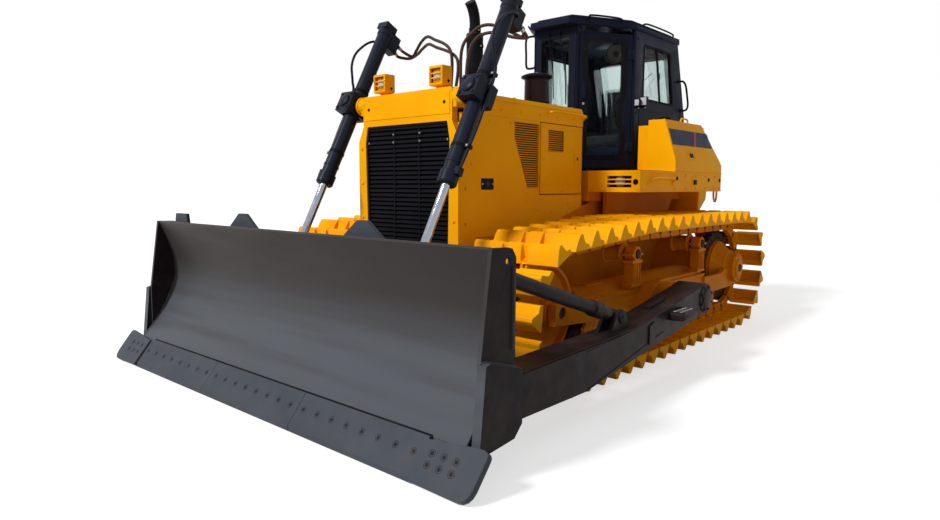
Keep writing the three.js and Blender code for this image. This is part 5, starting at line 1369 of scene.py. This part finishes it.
def door_glass(side):
    made = Shape("glass")
    window(made, [(129, 1730), (544, 1730), (544, 2246), (506, 2288), (506, 2442), (544, 2484), (544, 2855),
        (129, 2855), (129, 2324), (172, 2282), (172, 2058), (129, 2016)], lambda u, v,
        d: on_door(u, -2 - d, v), lip=20, radius=26, border=32)
    # Hinge bolts with small red caps, the lock and the seal
    out = (DOOR_OUT.x, DOOR_OUT.y, 0)
    ring = rounded(rectangle(26, DOOR_SPAN - 26, 1612, 2933), 20)
    for z in (1835, 2735):
        made.bolt(on_door(50, 13, z), out, 7, "cab")
        made.lathe(on_door(70, -3, z), out, [(0, 8), (5, 8), (7, 5), (7, 1)], 16, "red")
    made.lathe(on_door(568, -2, 2240), out, [(0, 13), (4, 13), (6, 9), (6, 2)], 20, "steel")
    outer = grown(ring, -14)
    inner = grown(outer, -10)
    made.rings([[on_door(u, d, v) for u, v in r] for r, d in ((outer, -41), (inner, -41), (inner, -48),
        (outer, -48))], "rubber", loop=True)
    for z in (1660, 2890):
        made.rings([[on_door(u, d, v) for u, v in rectangle(90, 560, z - 16, z + 16)] for d in (-3, 0.5)],
            "cab")
    # Inside pull bar
    bar = ((-44, 2080), (-84, 2084), (-90, 2150), (-90, 2400), (-84, 2466), (-44, 2470))
    made.tube([on_door(560, d, z) for d, z in bar], 9, 12, 6, "black")
    return build(sided("door_glass", side), made.mirrored(side), sided("cab_door", side))


def rear_glass():
    made = Shape("glass")
    window(made, rectangle(-420, 420, 2280, 2860), lambda u, v, d: (u, rear_wall(v, d), v))
    wiper(made, (0, rear_wall(2890), 2890), (120, rear_wall(2650), 2650), (-20, rear_wall(2560), 2560),
        (240, rear_wall(2720), 2720), (0, 0.957, 0.29))
    for s in (-1, 1):
        made.lathe((s * 420, 2290, 2935), (0, 1, 0.1), [(0, 26), (40, 48), (70, 52), (74, 52), (74, 46)], 30,
            "black")
        made.lathe((s * 420, 2290, 2935), (0, 1, 0.1), [(66, 46), (72, 40), (75, 26), (76, 4)], 30, "lamp")
    ring = rounded(rectangle(-480, 480, 1680, 2170), 30)
    made.border("Y", ring, grown(ring, -12), 2491, 2495, "cab")
    for i in range(9):
        z = 1760 + 36 * i
        made.prism([(2490 + d, z + h) for d, h in ((0, 0), (9, 3), (10, 6), (9, 9), (0, 16))], "X", -180, 180,
            "cab")
    return build("rear_glass", made)


def roof_trim():
    """The roof's gutter and the caps of its fixing screws."""
    made = Shape("cab")
    outline = [(-225, 632), (225, 632), (300, 762), (590, 1290), (590, 2290), (-590, 2290), (-590, 1290),
        (-300, 762)]
    made.border("Z", grown(outline, -4), grown(outline, -26), 3036, 3040, "rubber")
    for x, y in ((-480, 1400), (480, 1400), (-480, 2140), (480, 2140), (-180, 860), (180, 860)):
        made.lathe((x, y, 3076), UP, [(0, 24), (3, 22), (3.6, 4)], 20, "black")
    return build("roof_trim", made)


def interior():
    """Controls, pedals, a round fan and the head lining seen through the glass."""
    made = Shape("trim")
    for x in (-110, 0, 110):
        made.prism(rectangle(x - 34, x + 34, 996, 1014), "Z", 1640, 1752, "black")
        made.rod((x, 1006, 1602), (x, 1000, 1650), 9, 12, "steel")
    # Round ceiling fan in its wire guard
    hub, axis = Vector((200, 1590, 2835)), Vector((0.25, -0.85, -0.35)).normalized()
    for k in range(7):
        r = 24 + 13 * k
        made.lathe(hub + axis * (34 - 0.0035 * r * r), axis, [(-1.6, r), (0, r + 1.6), (1.6, r), (0, r - 1.6),
            (-1.6, r)], 40, "steel")
    made.lathe(hub - axis * 14, axis, [(0, 100), (4, 106), (14, 106), (18, 100), (16, 96), (2, 96)], 40,
        "black")
    made.lathe(hub, axis, [(-40, 34), (-30, 40), (26, 36), (38, 22), (40, 4)], 28, "black")
    made.rod(hub - axis * 36, (200, 1640, 2956), 12, 14, "black")
    for s in (-1, 1):
        base = (s * 380, 1780, 2058)
        made.tube([base, (s * 380, 1776, 2120), (s * 372, 1766, 2186)], 11, 12, 5, "black")
        made.lathe((s * 372, 1766, 2180), (s * -0.05, -0.1, 1), [(0, 14), (14, 26), (58, 28), (86, 20),
            (94, 6)], 24, "rubber")
        made.lathe((s * 380, 1560, 2058), UP, [(0, 44), (8, 44), (34, 22), (44, 15)], 24, "rubber")
        made.box(s * 300, s * 462, 1860, 2130, 2058, 2100, "rubber")
        made.lathe((s * 346, 1660, 2060), UP, [(0, 16), (8, 15), (12, 10), (12, 3)], 16, "red")
    # Instrument cowl with three blank round dials
    for x in (-66, 0, 66):
        made.lathe((x, 964, 2176), (0, 1, 0.25), [(0, 30), (3, 30), (5, 27), (2, 25), (2, 3)], 28, "steel")
        made.lathe((x, 966, 2176), (0, 1, 0.25), [(0, 25), (1, 25)], 28, "black")
    # Floor mat and head lining
    made.box(-330, 330, 1130, 1620, 1599, 1606, "rubber")
    made.box(-470, 470, 1350, 2200, 2952, 2968)
    made.lathe((0, 1700, 2953), DOWN, [(0, 60), (12, 58), (18, 44), (20, 8)], 32, "lamp")
    # Folded seat suspension boot and slide rails
    for i in range(6):
        z = 1640 + 36 * i
        made.stack("Z", [([(x * k, 1890 + y * k) for x, y in rectangle(-176, 176, -156, 156)], z + h)
            for k, h in ((1.0, 0), (1.06, 12), (1.06, 20), (1.0, 34))], "rubber")
    # Head rest posts
    for x in (-60, 60):
        made.rod((x, 2165, 2500), (x, 2165, 2580), 7, 12, "steel")
    return build("cab_interior", made)


front_glass()
rear_glass()
roof_trim()
interior()
on_both_sides(side_glass, door_glass)


# ------------------------------------------------------------------ seat
SLACK, MOST_SWELL = 0.012, 0.018  # room left for the stuffing, and how far it may push a point out
CHANNEL_HALF, CHANNEL_SINK = 0.022, 0.30


def plump(name, low, high, channels):
    """A cushion inside its CAD box: a rounded block that cloth pressure fills, then sewn channels.
    Its box is in millimetres, all else in metres; a channel is (axis, place from the middle as a share)."""
    shift = Vector((0, MID_Y, 0))
    low, high = (Vector(low) + shift) / 1000, (Vector(high) + shift) / 1000
    mid, half = (low + high) / 2, (high - low) / 2

    def block(work):
        bmesh.ops.create_cube(work, size=2.0)
        for v in work.verts:
            v.co = v.co * (half - Vector((SLACK, SLACK, SLACK))) + mid
        bmesh.ops.bevel(work, geom=work.edges[:], offset=0.03, segments=4, profile=0.6, affect="EDGES")

    obj = placed(name, bpy.data.meshes.new(name))
    reworked(obj.data, block)
    remesh = obj.modifiers.new("voxels", "REMESH")
    remesh.mode, remesh.voxel_size = "VOXEL", 0.007
    apply_all(obj)
    rest = [v.co.copy() for v in obj.data.vertices]
    cloth = obj.modifiers.new("cloth", "CLOTH")
    s = cloth.settings
    s.quality, s.use_pressure, s.uniform_pressure_force = 5, True, 4.0
    s.tension_stiffness = s.compression_stiffness = 30
    s.bending_stiffness, s.mass, s.effector_weights.gravity = 2.0, 0.3, 0.0
    for f in range(1, 21):
        bpy.context.scene.frame_set(f)
    apply_all(obj)
    bpy.context.scene.frame_set(1)
    thin = min(range(3), key=lambda i: half[i])
    for v, was in zip(obj.data.vertices, rest):
        moved = v.co - was
        if moved.length > MOST_SWELL:
            moved *= MOST_SWELL / moved.length
        v.co = was + moved
        for i in range(3):
            v.co[i] = min(max(v.co[i], low[i] + 0.001), high[i] - 0.001)
        # Sewn channels run across the face
        for axis, place in channels:
            d = abs(v.co[axis] - (mid[axis] + place * half[axis]))
            if d < CHANNEL_HALF and abs(v.co[thin] - mid[thin]) > 0.3 * half[thin]:
                v.co[thin] += (mid[thin] - v.co[thin]) * CHANNEL_SINK * (1 - d / CHANNEL_HALF) ** 2
    sub = obj.modifiers.new("smooth", "SUBSURF")
    sub.levels = sub.render_levels = 1
    apply_all(obj)
    obj.data.shade_smooth()
    obj.data.materials.clear()
    obj.data.materials.append(MAT["vinyl"])
    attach(obj, "chassis")
    return obj


def apply_all(obj):
    """Replaces the mesh by what its modifiers make of it."""
    graph = bpy.context.evaluated_depsgraph_get()
    made = bpy.data.meshes.new_from_object(obj.evaluated_get(graph))
    obj.modifiers.clear()
    obj.data = made


def piping(name, low, high, axis):
    """A sewn cord round the edge of a cushion's face."""
    made = Shape("vinyl")
    (x0, y0, z0), (x1, y1, z1) = low, high
    b0, b1, near = (y0, y1, z1 - 24) if axis == "Z" else (z0, z1, y0 + 24)
    path = [PLACE[axis](a, b, near) for a, b in rounded(rectangle(x0 + 16, x1 - 16, b0 + 16, b1 - 16), 30)]
    made.tube(path + path[:2], 4, 8, 2)
    return build(name, made)


SEAT_LOW, SEAT_HIGH = (-250, 1640, 1880.4), (250, 2110, 2000)
BACK_LOW, BACK_HIGH = (-240, 2110.4, 1900.4), (240, 2220, 2560)
SIDE_CHANNELS = ((0, -0.62), (0, 0.62))
cushion = plump("seat_cushion_pad", SEAT_LOW, SEAT_HIGH, ((1, -0.3), (1, 0.3), *SIDE_CHANNELS))
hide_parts("seat_cushion")
back_rest = plump("seat_back_pad", BACK_LOW, BACK_HIGH, ((2, -0.5), (2, 0.0), (2, 0.5), *SIDE_CHANNELS))
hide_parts("seat_back")
piping("seat_cushion_piping", SEAT_LOW, SEAT_HIGH, "Z")
piping("seat_back_piping", BACK_LOW, BACK_HIGH, "Y")


# ------------------------------------------------------------------ floor, light and camera
SKY, SUN, SUN_FROM, SUN_ANGLE = 0.34, 2.85, (-0.28, -0.85, 0.70), 0.22
FLOOR_GLOW = 0.62


def seen_plainly(tree):
    """1 for rays that show the white ground as such: the camera's, reflected and transmitted ones."""
    path = node(tree, "ShaderNodeLightPath").outputs
    seen = combined(tree, "ADD", path["Is Camera Ray"], path["Is Glossy Ray"], True)
    return combined(tree, "ADD", seen, path["Is Transmission Ray"], True)


def floor_paint():
    """A pale surface that the camera and reflections see as white, and that still shows shadows."""
    made, tree, shader = surface("floor_paint", Roughness=0.9, Specular_IOR_Level=0.1)
    tree.links.new(mix(tree, noise(tree, 0.7, 3), (0.60, 0.60, 0.60), (0.62, 0.62, 0.62)),
        shader.inputs["Base Color"])
    shader.inputs["Emission Color"].default_value = (1, 1, 1, 1)
    tree.links.new(combined(tree, "MULTIPLY", seen_plainly(tree), FLOOR_GLOW),
        shader.inputs["Emission Strength"])
    return made


def stage():
    mesh = bpy.data.meshes.new("floor")
    reworked(mesh, lambda work: bmesh.ops.create_grid(work, x_segments=8, y_segments=8, size=60))
    mesh.materials.append(floor_paint())
    floor = placed("floor", mesh)
    floor.location.z = -0.002
    world = bpy.data.worlds.new("studio")
    bpy.context.scene.world = world
    world.use_nodes = True
    tree = world.node_tree
    back = tree.nodes["Background"]
    back.inputs["Color"].default_value = (1, 1, 1, 1)
    tree.links.new(between(tree, seen_plainly(tree), SKY, 1.0, 0.0, 1.0), back.inputs["Strength"])
    light = bpy.data.lights.new("key", "SUN")
    light.energy, light.angle = SUN, SUN_ANGLE
    sun = placed("key", light)
    sun.rotation_mode = "QUATERNION"
    sun.rotation_quaternion = Vector(SUN_FROM).to_track_quat("Z", "Y")


def camera():
    """The photograph's view: azimuth, downward pitch, roll and lens of a 36 mm frame."""
    azimuth, pitch, roll = (math.radians(v) for v in (41.282, 6.365, 0.186))
    ahead = Vector((-math.sin(azimuth) * math.cos(pitch), math.cos(azimuth) * math.cos(pitch),
        -math.sin(pitch)))
    right = ahead.cross(Vector((0, 0, 1))).normalized()
    up = right.cross(ahead)
    across = right * math.cos(roll) + up * math.sin(roll)
    upward = up * math.cos(roll) - right * math.sin(roll)
    lens = bpy.data.cameras.new("camera")
    lens.lens, lens.sensor_width, lens.clip_end = 25.42, 36.0, 500.0
    obj = placed("camera", lens)
    place = Matrix((across, upward, -ahead)).transposed().to_4x4()
    place.translation = Vector((3.811, -4.874, 1.440))
    obj.matrix_world = place
    bpy.context.scene.camera = obj


stage()
camera()
bpy.context.scene.view_settings.view_transform = "Standard"
